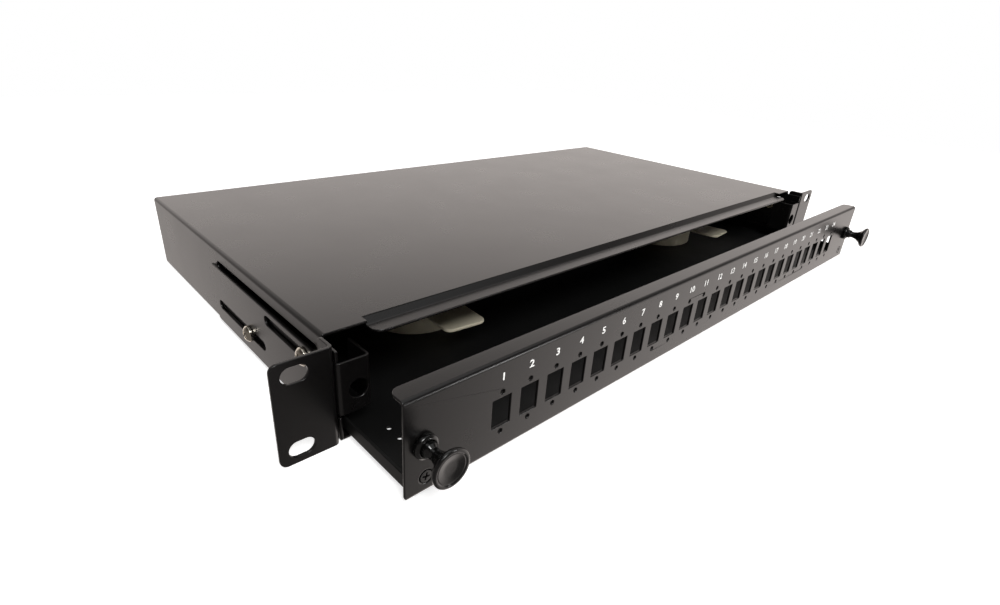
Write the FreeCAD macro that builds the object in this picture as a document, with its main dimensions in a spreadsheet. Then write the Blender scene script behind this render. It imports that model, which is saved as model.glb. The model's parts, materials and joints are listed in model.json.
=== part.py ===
"""Sliding fibre termination box, one rack unit high, for a 19 inch rack.

Frame: X runs to the right along the front, Y runs from the front to the rear and Z runs up.
The origin is the middle of the four rack slots, on the front face of the rack ears.
The drawer stands part of the way out, which is the rest pose of every joint.
"""
import FreeCAD, Part
import math
import os
import re

import Sketcher

from FreeCAD import Placement, Rotation, Vector

# Every driving dimension in millimetres: alias, value, what it is.
DIMENSIONS = (
    ("shell_depth", 235.3, "housing, from the ear plane to the rear face"),
    ("shell_top", 21.7, "height of the top face above the ear centre"),
    ("shell_bottom", -21.0, "height of the underside"),
    ("metal", 1.2, "sheet thickness of housing and drawer"),
    ("bend", 1.9, "outside radius of a sheet bend"),
    ("wall_front", 0.3, "front edge of the side walls behind the ear plane"),
    ("cover_edge", 11.0, "front edge of the top face beside the lip"),
    ("wall_step_drop", 2.5, "side wall in front of the top face, below the top"),
    ("lip_inset", 20.0, "end of the stepped-down lip, from the side of the housing"),
    ("lip_front", 4.8, "front edge of the lip"),
    ("lip_foot", 12.2, "where the step meets the lip"),
    ("lip_run", 3.0, "horizontal run of the step"),
    ("lip_drop", 2.6, "depth of the step"),
    ("lip_round", 5.0, "corner radius of the lip"),
    ("lip_bend", 1.6, "bend radius of the step"),
    ("flange_top", 13.8, "top of the latch flange"),
    ("flange_foot", -9.5, "bottom of the latch flange"),
    ("flange_reach", 14.4, "latch flange return, in from the side of the housing"),
    ("flange_return", 16.0, "length of the latch flange return"),
    ("flange_root", 6.0, "length of side wall that carries the latch flange"),
    ("relief", 0.9, "width of a bend relief cut"),
    ("wall_slot_front", 14.8, "front end of the long wall slot"),
    ("wall_slot_rear", 124.0, "rear end of the long wall slot"),
    ("wall_slot_mid", 13.05, "height of the long wall slot"),
    ("wall_slot_width", 4.1, "width of the long wall slot"),
    ("base_notch", 8.5, "front edge of the floor between its corner tabs"),
    ("base_notch_gap", 3.8, "floor notch, beyond the end of the panel's bottom flange"),
    ("base_flange_front", 45.0, "front end of the floor's side flanges"),
    ("base_flange_height", 7.8, "height of the floor's side flanges"),
    ("rear_flange", 11.0, "depth of the rear wall's top flange"),
    ("guide_front", 3.0, "front end of a drawer guide"),
    ("guide_rear", 40.0, "rear end of a drawer guide"),
    ("guide_leg", 7.9, "height of a drawer guide on the wall"),
    ("guide_reach", 6.3, "how far a drawer guide stands in from the wall"),
    ("gland_x", 150.0, "cable glands, from the middle"),
    ("plug_x", 105.0, "blanking plugs, from the middle"),
    ("entry_radius", 10.2, "radius of the cable entry holes"),
    ("gland_flats", 24.0, "gland body across flats"),
    ("gland_hex", 5.0, "thickness of the gland body's hexagon"),
    ("gland_neck", 8.6, "radius of the gland's neck"),
    ("gland_neck_length", 10.0, "length of the gland's neck"),
    ("gland_bore", 6.2, "bore radius of the gland"),
    ("gland_thread", 7.0, "gland thread inside the rear wall"),
    ("gland_nut_flats", 27.0, "gland nut across flats"),
    ("gland_nut_height", 4.4, "height of the gland nut"),
    ("gland_cap_radius", 10.6, "radius of the gland's cap"),
    ("gland_cap_flats", 22.0, "gland cap across flats"),
    ("gland_cap_hex", 6.5, "length of the gland cap's hexagon"),
    ("gland_cap_gap", 0.4, "gap between the gland's body and its cap"),
    ("gland_cap_length", 18.4, "end of the gland's cap, behind the housing"),
    ("gland_cap_wall", 2.0, "wall of the gland's cap"),
    ("seal_bore", 4.0, "bore radius of the gland's seal"),
    ("seal_start", 4.0, "inner end of the gland's seal, behind the housing"),
    ("seal_length", 13.0, "length of the gland's seal"),
    ("plug_rim", 3.0, "plug flange beyond the hole"),
    ("plug_head", 3.2, "thickness of the plug's flange"),
    ("plug_wall", 2.4, "wall of a plug"),
    ("plug_depth", 4.0, "plug inside the rear wall"),
    ("plug_bevel", 0.8, "bevel at a plug's end"),
    ("ground_radius", 2.5, "radius of the ground screw"),
    ("ground_flats", 8.0, "ground screw and nut across flats"),
    ("ground_head", 3.5, "height of the ground screw's head"),
    ("ground_washer", 1.0, "thickness of the ground screw's washer"),
    ("ground_washer_radius", 5.0, "radius of the ground screw's washer"),
    ("ground_nut", 3.2, "height of the ground screw's nut"),
    ("ground_end", 10.0, "ground screw in from the rear face"),
    ("ground_inset", 25.0, "ground screw, from the side of the housing"),
    ("ear_width", 22.5, "width of a rack ear beyond its plate"),
    ("ear_height", 44.0, "height of a rack ear"),
    ("ear_round", 3.2, "corner radius of a rack ear"),
    ("ear_slot_inset", 8.75, "rack slots, from the outer edge of an ear"),
    ("ear_slot_z", 15.875, "rack slots, above and below the middle"),
    ("ear_slot_length", 10.2, "length of a rack slot"),
    ("ear_slot_width", 6.8, "width of a rack slot"),
    ("plate", 1.5, "thickness of a rack bracket"),
    ("plate_gap", 0.3, "gap between a rack bracket and the side wall"),
    ("plate_rear", 129.5, "rear end of a rack bracket"),
    ("plate_top", 12.6, "top of a rack bracket's side"),
    ("plate_foot", -19.4, "bottom of a rack bracket's side"),
    ("plate_tall", 10.4, "length of the full-height front of a bracket's side"),
    ("plate_bend", 2.2, "outside bend radius of a rack bracket"),
    ("front_slot_start", 10.5, "front end of a bracket's upper slot"),
    ("front_slot_end", 62.2, "rear end of a bracket's upper slot"),
    ("front_slot_z", 7.6, "height of a bracket's upper slot"),
    ("rear_slot_start", 65.5, "front end of a bracket's lower slot"),
    ("rear_slot_margin", 5.5, "metal behind a bracket's lower slot"),
    ("rear_slot_z", -8.5, "height of a bracket's lower slot"),
    ("side_slot_width", 5.0, "width of a bracket's side slots"),
    ("front_screw_y", 23.0, "upper bracket screw"),
    ("rear_screw_y", 83.0, "lower bracket screw"),
    ("bracket_screw_radius", 2.0, "radius of a bracket screw's thread"),
    ("bracket_screw_fit", 0.15, "clearance round a bracket screw in the side wall"),
    ("bracket_screw_end", 1.7, "bracket screw beyond its clinch nut"),
    ("bracket_head", 4.0, "radius of a bracket screw's head"),
    ("bracket_head_height", 2.7, "height of a bracket screw's head"),
    ("clinch_radius", 3.5, "radius of a clinch nut"),
    ("clinch_height", 2.2, "height of a clinch nut"),
    ("thread_bite", 0.05, "how far a thread bites into its hole"),
    ("drawer_out", 41.2, "how far the drawer stands out in the rest pose"),
    ("panel_gap", 0.3, "gap behind the closed front panel"),
    ("panel_side_gap", 0.6, "front panel, inside the sides of the housing"),
    ("panel_lip_gap", 0.6, "gap between the lip and the panel's top flange"),
    ("panel_rise", 0.1, "front panel's foot above the underside"),
    ("panel_flange", 9.2, "depth of the panel's top flange"),
    ("panel_lip", 8.0, "depth of the panel's bottom flange"),
    ("panel_lip_inset", 21.2, "end of the panel's bottom flange, from the end of the panel"),
    ("panel_round", 2.5, "radius of the panel's lower corners"),
    ("flange_round", 4.0, "corner radius of the panel's top flange"),
    ("port_count", 24, "number of adapter windows"),
    ("port_pitch", 15.0, "distance between adapter windows"),
    ("port_margin", 43.9, "last window's middle, from the end of the panel"),
    ("port_mid", -2.35, "height of the middle of the windows"),
    ("window_width", 9.6, "adapter window width"),
    ("window_height", 13.0, "adapter window height"),
    ("port_hole_edge", 2.55, "screw hole's middle, from the edge of its window"),
    ("port_hole_radius", 1.15, "radius of an adapter screw hole"),
    ("panel_screw_inset", 9.0, "panel screws, from the end of the panel"),
    ("panel_screw_rise", 7.0, "panel screws above the panel's foot"),
    ("panel_screw_radius", 2.0, "radius of a panel screw's thread"),
    ("panel_screw_length", 8.0, "length of a panel screw"),
    ("panel_screw_fit", 0.1, "clearance round a panel screw in the panel"),
    ("latch_inset", 8.1, "push latches, from the end of the panel"),
    ("latch_z", 0.4, "height of the push latches"),
    ("latch_fit", 0.35, "clearance round a latch sleeve in the housing flange"),
    ("sleeve_radius", 3.8, "outside radius of a latch sleeve"),
    ("sleeve_length", 8.0, "length of a latch sleeve behind the panel"),
    ("sleeve_wall", 0.6, "wall of a latch sleeve"),
    ("collar_radius", 4.9, "radius of a latch collar"),
    ("collar_height", 2.6, "height of a latch collar"),
    ("sleeve_bite", 0.02, "press of a latch sleeve in the panel"),
    ("pin_fit", 0.06, "radial running clearance of a latch pin"),
    ("pin_end", 1.5, "latch pin's end inside its sleeve"),
    ("pin_shoulder", 4.9, "end of the latch pin's full diameter"),
    ("pin_waist", 2.3, "waist radius of a latch pin"),
    ("knob_radius", 7.5, "radius of a latch knob"),
    ("knob_front", 15.4, "front of the pulled-out knob before the panel"),
    ("knob_rim", 2.0, "thickness of the knob at its rim"),
    ("tray_rear_gap", 29.4, "closed tray to the rear wall"),
    ("tray_side_gap", 1.6, "tray to the side wall"),
    ("tray_lift", 0.4, "running clearance under the tray"),
    ("tray_side", 7.1, "height of the tray's side flanges"),
    ("tray_tab_width", 13.7, "width of the tray's front tabs"),
    ("tray_tab_edge", 3.8, "metal over a panel screw in its tab"),
    ("stop_inset", 2.6, "tray's rear stops, from the side of the tray"),
    ("stop_width", 4.6, "width of the tray's rear stops"),
    ("stop_height", 3.3, "tray's rear stops, above the foot of the guides"),
    ("tie_hole_inset", 14.2, "cable tie holes, from the side of the tray"),
    ("tie_hole_y", 34.2, "first cable tie hole behind the panel"),
    ("tie_hole_step", 7.8, "distance between cable tie holes"),
    ("tie_hole_radius", 1.0, "radius of a cable tie hole"),
    ("spool_left_gap", 21.0, "left fibre spool's wall to the cassette"),
    ("spool_right_gap", 25.0, "right fibre spool's wall to the cassette"),
    ("spool_rear", 90.5, "middle of the fibre spools, from the tray's rear edge"),
    ("spool_radius", 27.0, "outside radius of a spool wall"),
    ("spool_wall", 1.8, "thickness of a spool wall"),
    ("spool_height", 16.2, "height of a spool"),
    ("spool_hub", 12.0, "radius of the hole in a spool's floor"),
    ("spool_floor", 1.6, "thickness of a spool's floor and petals"),
    ("spool_screw_radius", 1.5, "radius of a spool screw's thread"),
    ("spool_head", 2.8, "radius of a spool screw's head"),
    ("spool_head_height", 2.1, "height of a spool screw's head"),
    ("petal_length", 28.0, "how far a spool petal stands out over the wall"),
    ("petal_width", 23.5, "width of a spool petal"),
    ("petal_turn", 5.4, "turn of the front petals, degrees"),
    ("petal_round", 4.0, "corner radius of a spool petal"),
    ("cassette_x", -10.0, "middle of the splice cassette"),
    ("cassette_rear_gap", 5.0, "splice cassette, from the tray's rear edge"),
    ("cassette_width", 150.0, "splice cassette width"),
    ("cassette_length", 94.0, "splice cassette length"),
    ("cassette_height", 10.0, "splice cassette height"),
    ("cassette_wall", 1.6, "splice cassette wall"),
    ("cassette_round", 16.0, "splice cassette corner radius"),
    ("lid_thickness", 1.4, "cassette lid thickness"),
    ("cassette_mouth", 60.0, "width of the fibre opening in the cassette's rear wall"),
    ("comb_slots", 24, "number of splice slots"),
    ("comb_pitch", 3.0, "distance between splice slots"),
    ("comb_ridge", 1.0, "thickness of a comb ridge"),
    ("comb_height", 6.4, "height of a comb ridge"),
    ("comb_plate", 1.4, "thickness of the comb's plate"),
    ("comb_length", 26.0, "comb, from front to rear"),
    ("comb_front", 34.0, "comb, from the front of the cassette"),
    ("post_step", 48.0, "cassette posts, from the middle of the cassette"),
    ("post_front", 16.0, "cassette posts, from the front of the cassette"),
    ("post_radius", 2.0, "radius of a cassette post"),
    ("post_fit", 0.2, "clearance round a cassette post"),
    ("nut_radius", 5.0, "radius of a thumb nut"),
    ("nut_height", 2.8, "height of a thumb nut"),
    ("post_end", 0.4, "cassette post above its thumb nut"),
)

# Positions that follow from the sizes above, as formulas of their names.
WORKED_OUT = {
    "panel_half": "(port_count - 1) * port_pitch / 2 + port_margin",
    "shell_half": "panel_half + panel_side_gap",
    "wall_inner": "shell_half - metal",
    "ceiling": "shell_top - metal",
    "floor_top": "shell_bottom + metal",
    "rear_inner": "shell_depth - metal",
    "wall_step": "shell_top - wall_step_drop",
    "lip_half": "shell_half - lip_inset",
    "lip_top": "shell_top - lip_drop",
    "flange_inner": "shell_half - flange_reach",
    "base_flange_top": "shell_bottom + base_flange_height",
    "ground_x": "shell_half - ground_inset",
    "plate_inner": "shell_half + plate_gap",
    "plate_outer": "plate_inner + plate",
    "ear_reach": "plate_outer + ear_width",
    "ear_slot_x": "ear_reach - ear_slot_inset",
    "rear_slot_end": "plate_rear - rear_slot_margin",
    "panel_back": "0 - panel_gap - drawer_out",
    "panel_face": "panel_back - metal",
    "panel_top": "lip_top + panel_lip_gap + metal",
    "panel_foot": "shell_bottom + panel_rise",
    "panel_lip_half": "panel_half - panel_lip_inset",
    "base_notch_half": "panel_lip_half + base_notch_gap",
    "port_hole_step": "window_height / 2 + port_hole_edge",
    "panel_screw_x": "panel_half - panel_screw_inset",
    "panel_screw_z": "panel_foot + panel_screw_rise",
    "latch_x": "panel_half - latch_inset",
    "latch_hole": "sleeve_radius + latch_fit",
    "sleeve_bore": "sleeve_radius - sleeve_wall",
    "tray_half": "wall_inner - tray_side_gap",
    "tray_foot": "floor_top + tray_lift",
    "tray_floor": "tray_foot + metal",
    "tray_rear": "rear_inner - drawer_out - tray_rear_gap",
    "tray_tab_inner": "tray_half - tray_tab_width",
    "tray_tab_top": "panel_screw_z + tray_tab_edge",
    "guide_foot": "tray_foot + tray_side + tray_lift",
    "stop_outer": "tray_half - stop_inset",
    "stop_inner": "stop_outer - stop_width",
    "stop_top": "guide_foot + stop_height",
    "tie_hole_x": "tray_half - tie_hole_inset",
    "cassette_left": "cassette_x - cassette_width / 2",
    "cassette_right": "cassette_x + cassette_width / 2",
    "cassette_rear": "tray_rear - cassette_rear_gap",
    "cassette_front": "cassette_rear - cassette_length",
    "cassette_top": "tray_floor + cassette_height",
    "lid_top": "cassette_top + lid_thickness",
    "spool_left_x": "cassette_left - spool_left_gap - spool_radius",
    "spool_right_x": "cassette_right + spool_right_gap + spool_radius",
    "spool_y": "tray_rear - spool_rear",
    "spool_base": "tray_floor + spool_floor",
    "petal_inner": "spool_radius - spool_wall",
    "petal_reach": "spool_radius + petal_length",
    "spool_screw_step": "(petal_inner + spool_hub) / 2",
    "bracket_screw_length": "plate + plate_gap + metal + clinch_height + bracket_screw_end",
    "clinch_bore": "bracket_screw_radius - thread_bite",
}

# Where the bracket screws stand on each side wall, as (Y, Z).
BRACKET_SCREWS = (("front_screw_y", "front_slot_z"), ("rear_screw_y", "rear_slot_z"))
# Where the spool screws and the cassette posts stand on the tray, as (X, Y).
SPOOL_SCREWS = tuple((f"{x} {sign} spool_screw_step", "spool_y")
                     for x in ("spool_left_x", "spool_right_x") for sign in "-+")
CASSETTE_POSTS = tuple((f"cassette_x {sign} post_step", "cassette_front + post_front") for sign in "-+")

doc = FreeCAD.newDocument("FibreTerminationBox")
sheet = doc.addObject("Spreadsheet::Sheet", "Sizes")
for row, (alias, value, meaning) in enumerate(DIMENSIONS, start=1):
    sheet.set(f"A{row}", meaning)
    sheet.set(f"B{row}", str(value))
    sheet.setAlias(f"B{row}", alias)
for row, alias in enumerate(WORKED_OUT, start=len(DIMENSIONS) + 1):
    sheet.setAlias(f"B{row}", alias)
for row, text in enumerate(WORKED_OUT.values(), start=len(DIMENSIONS) + 1):
    sheet.set(f"B{row}", "=" + text)
doc.recompute()

ALIASES = {alias for alias, _, _ in DIMENSIONS} | set(WORKED_OUT)
NODES = []


def formula(text):
    """Turn plain names into an expression on the sheet."""
    def swap(match):
        word = match.group(0)
        return "Sizes." + word if word in ALIASES else word
    return re.sub(r"[a-z][a-z_]*", swap, str(text))


def size(alias):
    """The number in one cell of the sheet."""
    return float(sheet.get(alias))


def bind(item, **formulas):
    """Bind properties of an object to formulas."""
    for prop, text in formulas.items():
        item.setExpression(prop, formula(text))


def place(item, x, y, z, rotation=None):
    """Bind an object's position, after giving it a fixed turn."""
    item.Placement = Placement(Vector(), rotation or Rotation())
    for axis, text in zip("xyz", (x, y, z)):
        item.setExpression(f"Placement.Base.{axis}", formula(text))
    return item


# A cylinder is made along Z; these turn it to lie along X or along Y.
ALONG_X = Rotation(Vector(0, 1, 0), 90)
ALONG_Y = Rotation(Vector(1, 0, 0), -90)
TOWARDS_FRONT = Rotation(Vector(1, 0, 0), 90)
TOWARDS_LEFT = Rotation(Vector(0, 1, 0), -90)


def box(name, x, y, z):
    """A box between two planes along each axis, each pair given as (from, to)."""
    item = doc.addObject("Part::Box", name)
    bind(item, Length=f"({x[1]}) - ({x[0]})", Width=f"({y[1]}) - ({y[0]})", Height=f"({z[1]}) - ({z[0]})")
    return place(item, x[0], y[0], z[0])


def cylinder(name, radius, height, x, y, z, rotation=None):
    """A cylinder from a point along Z, or along the axis that the rotation gives."""
    item = doc.addObject("Part::Cylinder", name)
    bind(item, Radius=radius, Height=height)
    return place(item, x, y, z, rotation)


def hexagon(name, flats, height, x, y, z, rotation=None):
    """A hexagonal prism by its distance across flats."""
    item = doc.addObject("Part::Prism", name)
    item.Polygon = 6
    bind(item, Circumradius=f"({flats}) / 2 / cos(30)", Height=height)
    return place(item, x, y, z, rotation)


def fuse(name, parts):
    """One solid from several that touch or overlap."""
    item = doc.addObject("Part::MultiFuse", name)
    item.Shapes = parts
    item.Refine = True
    doc.recompute()
    return item


def cut(name, base, tools):
    """A solid without the tools' volume."""
    item = doc.addObject("Part::Cut", name)
    item.Base = base
    item.Tool = tools[0] if len(tools) == 1 else fuse(name + "_tools", tools)
    item.Refine = True
    doc.recompute()
    if item.Shape.Volume >= base.Shape.Volume - 1e-6:
        raise ValueError(f"{name}: the cut removed nothing")
    return item


def mirror(name, source):
    """The mirror image across the middle plane."""
    item = doc.addObject("Part::Mirroring", name)
    item.Source = source
    item.Normal = Vector(1, 0, 0)
    doc.recompute()
    return item


def slot_along_y(name, start, end, width, x, depth, z):
    """A round-ended slot that runs along Y and cuts along X."""
    half = f"({width}) / 2"
    middle = box(name + "_middle", (x, f"{x} + {depth}"), (f"{start} + {half}", f"{end} - {half}"),
                 (f"{z} - {half}", f"{z} + {half}"))
    ends = [cylinder(f"{name}_end_{index}", half, depth, x, y, z, ALONG_X)
            for index, y in enumerate((f"{start} + {half}", f"{end} - {half}"))]
    return fuse(name, [middle] + ends)


def edges_along(shape, axis, corners):
    """Names of the straight edges along an axis that pass through given corners of the other two axes."""
    others = [index for index in range(3) if index != axis]
    names = []
    for number, edge in enumerate(shape.Edges, start=1):
        if len(edge.Vertexes) != 2 or not isinstance(edge.Curve, (Part.Line, Part.LineSegment)):
            continue
        direction = edge.Vertexes[1].Point - edge.Vertexes[0].Point
        if abs(abs(direction[axis]) - edge.Length) > 1e-6:
            continue
        point = edge.Vertexes[0].Point
        if any(math.hypot(point[others[0]] - first, point[others[1]] - second) < 1e-4
               for first, second in corners):
            names.append(f"Edge{number}")
    if not names:
        raise ValueError("no edge at " + str(corners))
    return names


def round_edges(name, base, radius, axis, corners):
    """Round the straight edges of a Part solid that run along an axis through the corners."""
    item = doc.addObject("Part::Fillet", name)
    item.Base = base
    item.Edges = [(int(edge[4:]), radius, radius) for edge in edges_along(base.Shape, axis, corners)]
    doc.recompute()
    return item


def plane_of(body, role):
    """One of a body's own origin planes or axes."""
    return next(item for item in body.Origin.OriginFeatures if item.Role == role)


def sketch_on(body, name, role):
    """An empty sketch on one of a body's origin planes."""
    sketch = body.newObject("Sketcher::SketchObject", name)
    sketch.AttachmentSupport = [(plane_of(body, role), "")]
    sketch.MapMode = "FlatFace"
    return sketch


def constrain(sketch, kind, first, second, text):
    """Add one signed dimension from the sketch's origin and bind it."""
    number = sketch.addConstraint(Sketcher.Constraint(kind, -1, 1, first, second, 1.0))
    sketch.setExpression(f"Constraints[{number}]", formula(text))


def outline(sketch, points):
    """A closed polygon whose corners are all bound to formulas."""
    count = len(points)
    start = sketch.GeometryCount
    ring = [Vector(20 * math.cos(math.tau * step / count), 20 * math.sin(math.tau * step / count), 0)
            for step in range(count)]
    for step in range(count):
        sketch.addGeometry(Part.LineSegment(ring[step], ring[(step + 1) % count]), False)
    for step in range(count):
        following = start + (step + 1) % count
        sketch.addConstraint(Sketcher.Constraint("Coincident", start + step, 2, following, 1))
    for step, (across, up) in enumerate(points):
        constrain(sketch, "DistanceX", start + step, 1, across)
        constrain(sketch, "DistanceY", start + step, 1, up)


def rectangle(sketch, across, up):
    """A rectangle between two formulas on each sketch axis."""
    outline(sketch, [(across[0], up[0]), (across[1], up[0]), (across[1], up[1]), (across[0], up[1])])


def circle(sketch, radius, across, up):
    """A circle with its radius and centre bound to formulas."""
    number = sketch.addGeometry(Part.Circle(Vector(5, 5, 0), Vector(0, 0, 1), 1.0), False)
    constrain(sketch, "DistanceX", number, 3, across)
    constrain(sketch, "DistanceY", number, 3, up)
    bound = sketch.addConstraint(Sketcher.Constraint("Radius", number, 1.0))
    sketch.setExpression(f"Constraints[{bound}]", formula(radius))


def turned_body(name, points):
    """A PartDesign body turned about its own Z axis, from a half section of (radius, height)."""
    body = doc.addObject("PartDesign::Body", name)
    sketch = sketch_on(body, name + "_section", "XZ_Plane")
    outline(sketch, points)
    turn = body.newObject("PartDesign::Revolution", name + "_turn")
    turn.Profile = sketch
    turn.ReferenceAxis = (sketch, ["V_Axis"])
    turn.Angle = 360
    doc.recompute()
    return body


def soften(body, name, radius, edges):
    """A PartDesign fillet on named edges of the body's tip."""
    tip = body.Tip
    item = body.newObject("PartDesign::Fillet", name)
    item.Base = (tip, edges)
    item.Radius = radius
    doc.recompute()
    return item


def rings_at(shape, rings):
    """Names of the full-circle edges about the Z axis with the given (radius, height)."""
    names = []
    for number, edge in enumerate(shape.Edges, start=1):
        if not isinstance(edge.Curve, Part.Circle):
            continue
        if any(abs(edge.Curve.Radius - radius) < 1e-4 and abs(edge.Curve.Center.z - height) < 1e-4
               for radius, height in rings):
            names.append(f"Edge{number}")
    if not names:
        raise ValueError("no ring at " + str(rings))
    return names


def pad(body, sketch, name, length, both_ways=False, reverse=False):
    """A pad whose length is bound to a formula."""
    item = body.newObject("PartDesign::Pad", name)
    item.Profile = sketch
    item.Midplane = both_ways
    item.Reversed = reverse
    bind(item, Length=length)
    doc.recompute()
    return item


def pocket(body, sketch, name, both_ways=True, reverse=False):
    """A pocket through the whole body, both ways or to one side of its sketch."""
    before = body.Shape.Volume
    item = body.newObject("PartDesign::Pocket", name)
    item.Profile = sketch
    item.Type = 1
    item.Midplane = both_ways
    item.Reversed = reverse
    doc.recompute()
    if body.Shape.Volume >= before - 1e-6:
        raise ValueError(f"{name}: the pocket cut nothing")
    return item


def mirror_feature(body, name, original):
    """Repeat a feature on the other side of the body's middle plane."""
    item = body.newObject("PartDesign::Mirrored", name)
    item.Originals = [original]
    item.MirrorPlane = (plane_of(body, "YZ_Plane"), [""])
    body.Tip = item
    doc.recompute()
    return item


def node(item, label):
    """Keep an object as one named piece of the assembly."""
    item.Label = label
    NODES.append(item)
    return item


def copies(label, master, placements):
    """One node that holds the same small part at several places."""
    doc.recompute()
    item = doc.addObject("Part::Feature", label + "_group")
    item.Shape = Part.makeCompound([master.Shape.transformed(spot.toMatrix()) for spot in placements])
    return node(item, label)


def housing_cover():
    """Top and side walls from one sheet, with the stepped lip and the two latch flanges."""
    half, top = size("shell_half"), size("shell_top")
    metal, bend = size("metal"), size("bend")
    outer = box("cover_outer", ("0 - shell_half", "shell_half"), ("wall_front", "shell_depth"),
                ("shell_bottom", "shell_top"))
    doc.recompute()
    outer = round_edges("cover_bends", outer, bend, 1, [(-half, top), (half, top)])
    inner = box("cover_inside", ("0 - wall_inner", "wall_inner"), ("0 - 1", "shell_depth + 1"),
                ("shell_bottom - 1", "ceiling"))
    doc.recompute()
    inner = round_edges("cover_inside_bends", inner, bend - metal, 1,
                        [(metal - half, top - metal), (half - metal, top - metal)])
    wide = ("0 - shell_half - 1", "shell_half + 1")
    corner = box("cover_corner", wide, ("0 - 1", "cover_edge"), ("wall_step", "shell_top + 1"))
    lip_gap = box("cover_lip_gap", ("0 - lip_half", "lip_half"), ("cover_edge - 1", "lip_foot + lip_run"),
                  ("wall_step", "shell_top + 1"))
    root = box("cover_flange_root", wide, ("0 - 1", "flange_root"),
               ("flange_foot - relief", "flange_top + relief"))
    slot = slot_along_y("cover_slot", "wall_slot_front", "wall_slot_rear", "wall_slot_width",
                        "0 - shell_half - 1", "shell_half * 2 + 2", "wall_slot_mid")
    holes = [cylinder(f"cover_screw_hole_{row}", "bracket_screw_radius + bracket_screw_fit",
                      "shell_half * 2 + 2", "0 - shell_half - 1", y, z, ALONG_X)
             for row, (y, z) in enumerate(BRACKET_SCREWS)]
    wrap = cut("cover_wrap", outer, [inner, corner, lip_gap, root, slot] + holes)
    right = latch_flange()
    return fuse("housing_cover_shape", [wrap, front_lip(), right, mirror("latch_flange_left", right)])


def front_lip():
    """The lip: a step down from the top face, then a strip that runs forward under the drawer's flange."""
    body = doc.addObject("PartDesign::Body", "front_lip")
    sketch = sketch_on(body, "lip_section", "YZ_Plane")
    # Shifts the lower corners so that the sloping step is as thick as the rest of the sheet.
    offset = "metal * (hypot(lip_run; lip_drop) - lip_run) / lip_drop"
    outline(sketch, [
        ("lip_front", "lip_top - metal"), ("lip_front", "lip_top"), ("lip_foot", "lip_top"),
        ("lip_foot + lip_run", "shell_top"), ("lip_foot + lip_run + 4", "shell_top"),
        ("lip_foot + lip_run + 4", "ceiling"), (f"lip_foot + lip_run + {offset}", "ceiling"),
        (f"lip_foot + {offset}", "lip_top - metal"),
    ])
    pad(body, sketch, "lip_pad", "lip_half * 2", both_ways=True)
    foot, run, top = size("lip_foot"), size("lip_run"), size("shell_top")
    low = size("lip_top")
    soften(body, "lip_step", size("lip_bend"), edges_along(body.Shape, 0, [(foot, low), (foot + run, top)]))
    half, front = size("lip_half"), size("lip_front")
    soften(body, "lip_corners", size("lip_round"),
           edges_along(body.Shape, 2, [(-half, front), (half, front)]))
    return body


def latch_flange():
    """The right-hand flange that the push latch enters: turned in from the side wall, then back."""
    body = doc.addObject("PartDesign::Body", "latch_flange")
    place(body, "0", "0", "flange_foot")
    sketch = sketch_on(body, "flange_section", "XY_Plane")
    outline(sketch, [
        ("shell_half", "flange_root"), ("shell_half", "0"), ("flange_inner", "0"),
        ("flange_inner", "flange_return"), ("flange_inner + metal", "flange_return"),
        ("flange_inner + metal", "metal"), ("wall_inner", "metal"), ("wall_inner", "flange_root"),
    ])
    pad(body, sketch, "flange_pad", "flange_top - flange_foot")
    half, inner = size("shell_half"), size("flange_inner")
    metal, bend = size("metal"), size("bend")
    soften(body, "flange_bends", bend, edges_along(body.Shape, 2, [(half, 0), (inner, 0)]))
    soften(body, "flange_inner_bends", bend - metal,
           edges_along(body.Shape, 2, [(half - metal, metal), (inner + metal, metal)]))
    hole = sketch_on(body, "flange_hole", "XZ_Plane")
    circle(hole, "latch_hole", "latch_x", "latch_z - flange_foot")
    pocket(body, hole, "flange_hole_cut")
    return body


def housing_base():
    """Floor with corner tabs, side flanges, and the rear wall with its cable entries."""
    foot, depth, metal = size("shell_bottom"), size("shell_depth"), size("metal")
    full = ("0 - wall_inner", "wall_inner")
    inside = ("0 - wall_inner + relief", "wall_inner - relief")
    floor = box("base_floor", full, ("wall_front", "shell_depth"), ("shell_bottom", "floor_top"))
    rear = box("base_rear", inside, ("rear_inner", "shell_depth"), ("shell_bottom", "ceiling"))
    flange = box("base_top_flange", inside, ("shell_depth - rear_flange", "shell_depth"),
                 ("ceiling - metal", "ceiling"))
    sides = [box(f"base_side_{row}", x, ("base_flange_front", "rear_inner - relief"),
                 ("shell_bottom", "base_flange_top"))
             for row, x in enumerate((("0 - wall_inner", "metal - wall_inner"),
                                      ("wall_inner - metal", "wall_inner")))]
    reliefs = [box(f"base_relief_{row}", x, ("rear_inner - relief", "shell_depth + 1"),
                   ("shell_bottom - 1", "shell_top"))
               for row, x in enumerate((("0 - shell_half", "relief - wall_inner"),
                                        ("wall_inner - relief", "shell_half")))]
    whole = cut("base_sheet", fuse("base_blank", [floor, rear, flange] + sides), reliefs)
    whole = round_edges("base_bend", whole, size("bend"), 0, [(depth, foot)])
    whole = round_edges("base_inner_bend", whole, size("bend") - metal, 0, [(depth - metal, foot + metal)])
    notch = box("base_notch_cut", ("0 - base_notch_half", "base_notch_half"), ("0 - 1", "base_notch"),
                ("shell_bottom - 1", "floor_top + 1"))
    entries = [cylinder(f"base_entry_{row}", "entry_radius", "metal + 2", x, "rear_inner - 1", "0", ALONG_Y)
               for row, x in enumerate(("0 - gland_x", "0 - plug_x", "plug_x", "gland_x"))]
    ground = cylinder("base_ground_hole", "ground_radius", "metal + 2", "ground_x", "rear_inner - 1", "0",
                      ALONG_Y)
    return cut("housing_base_shape", whole, [notch, ground] + entries)


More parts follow.
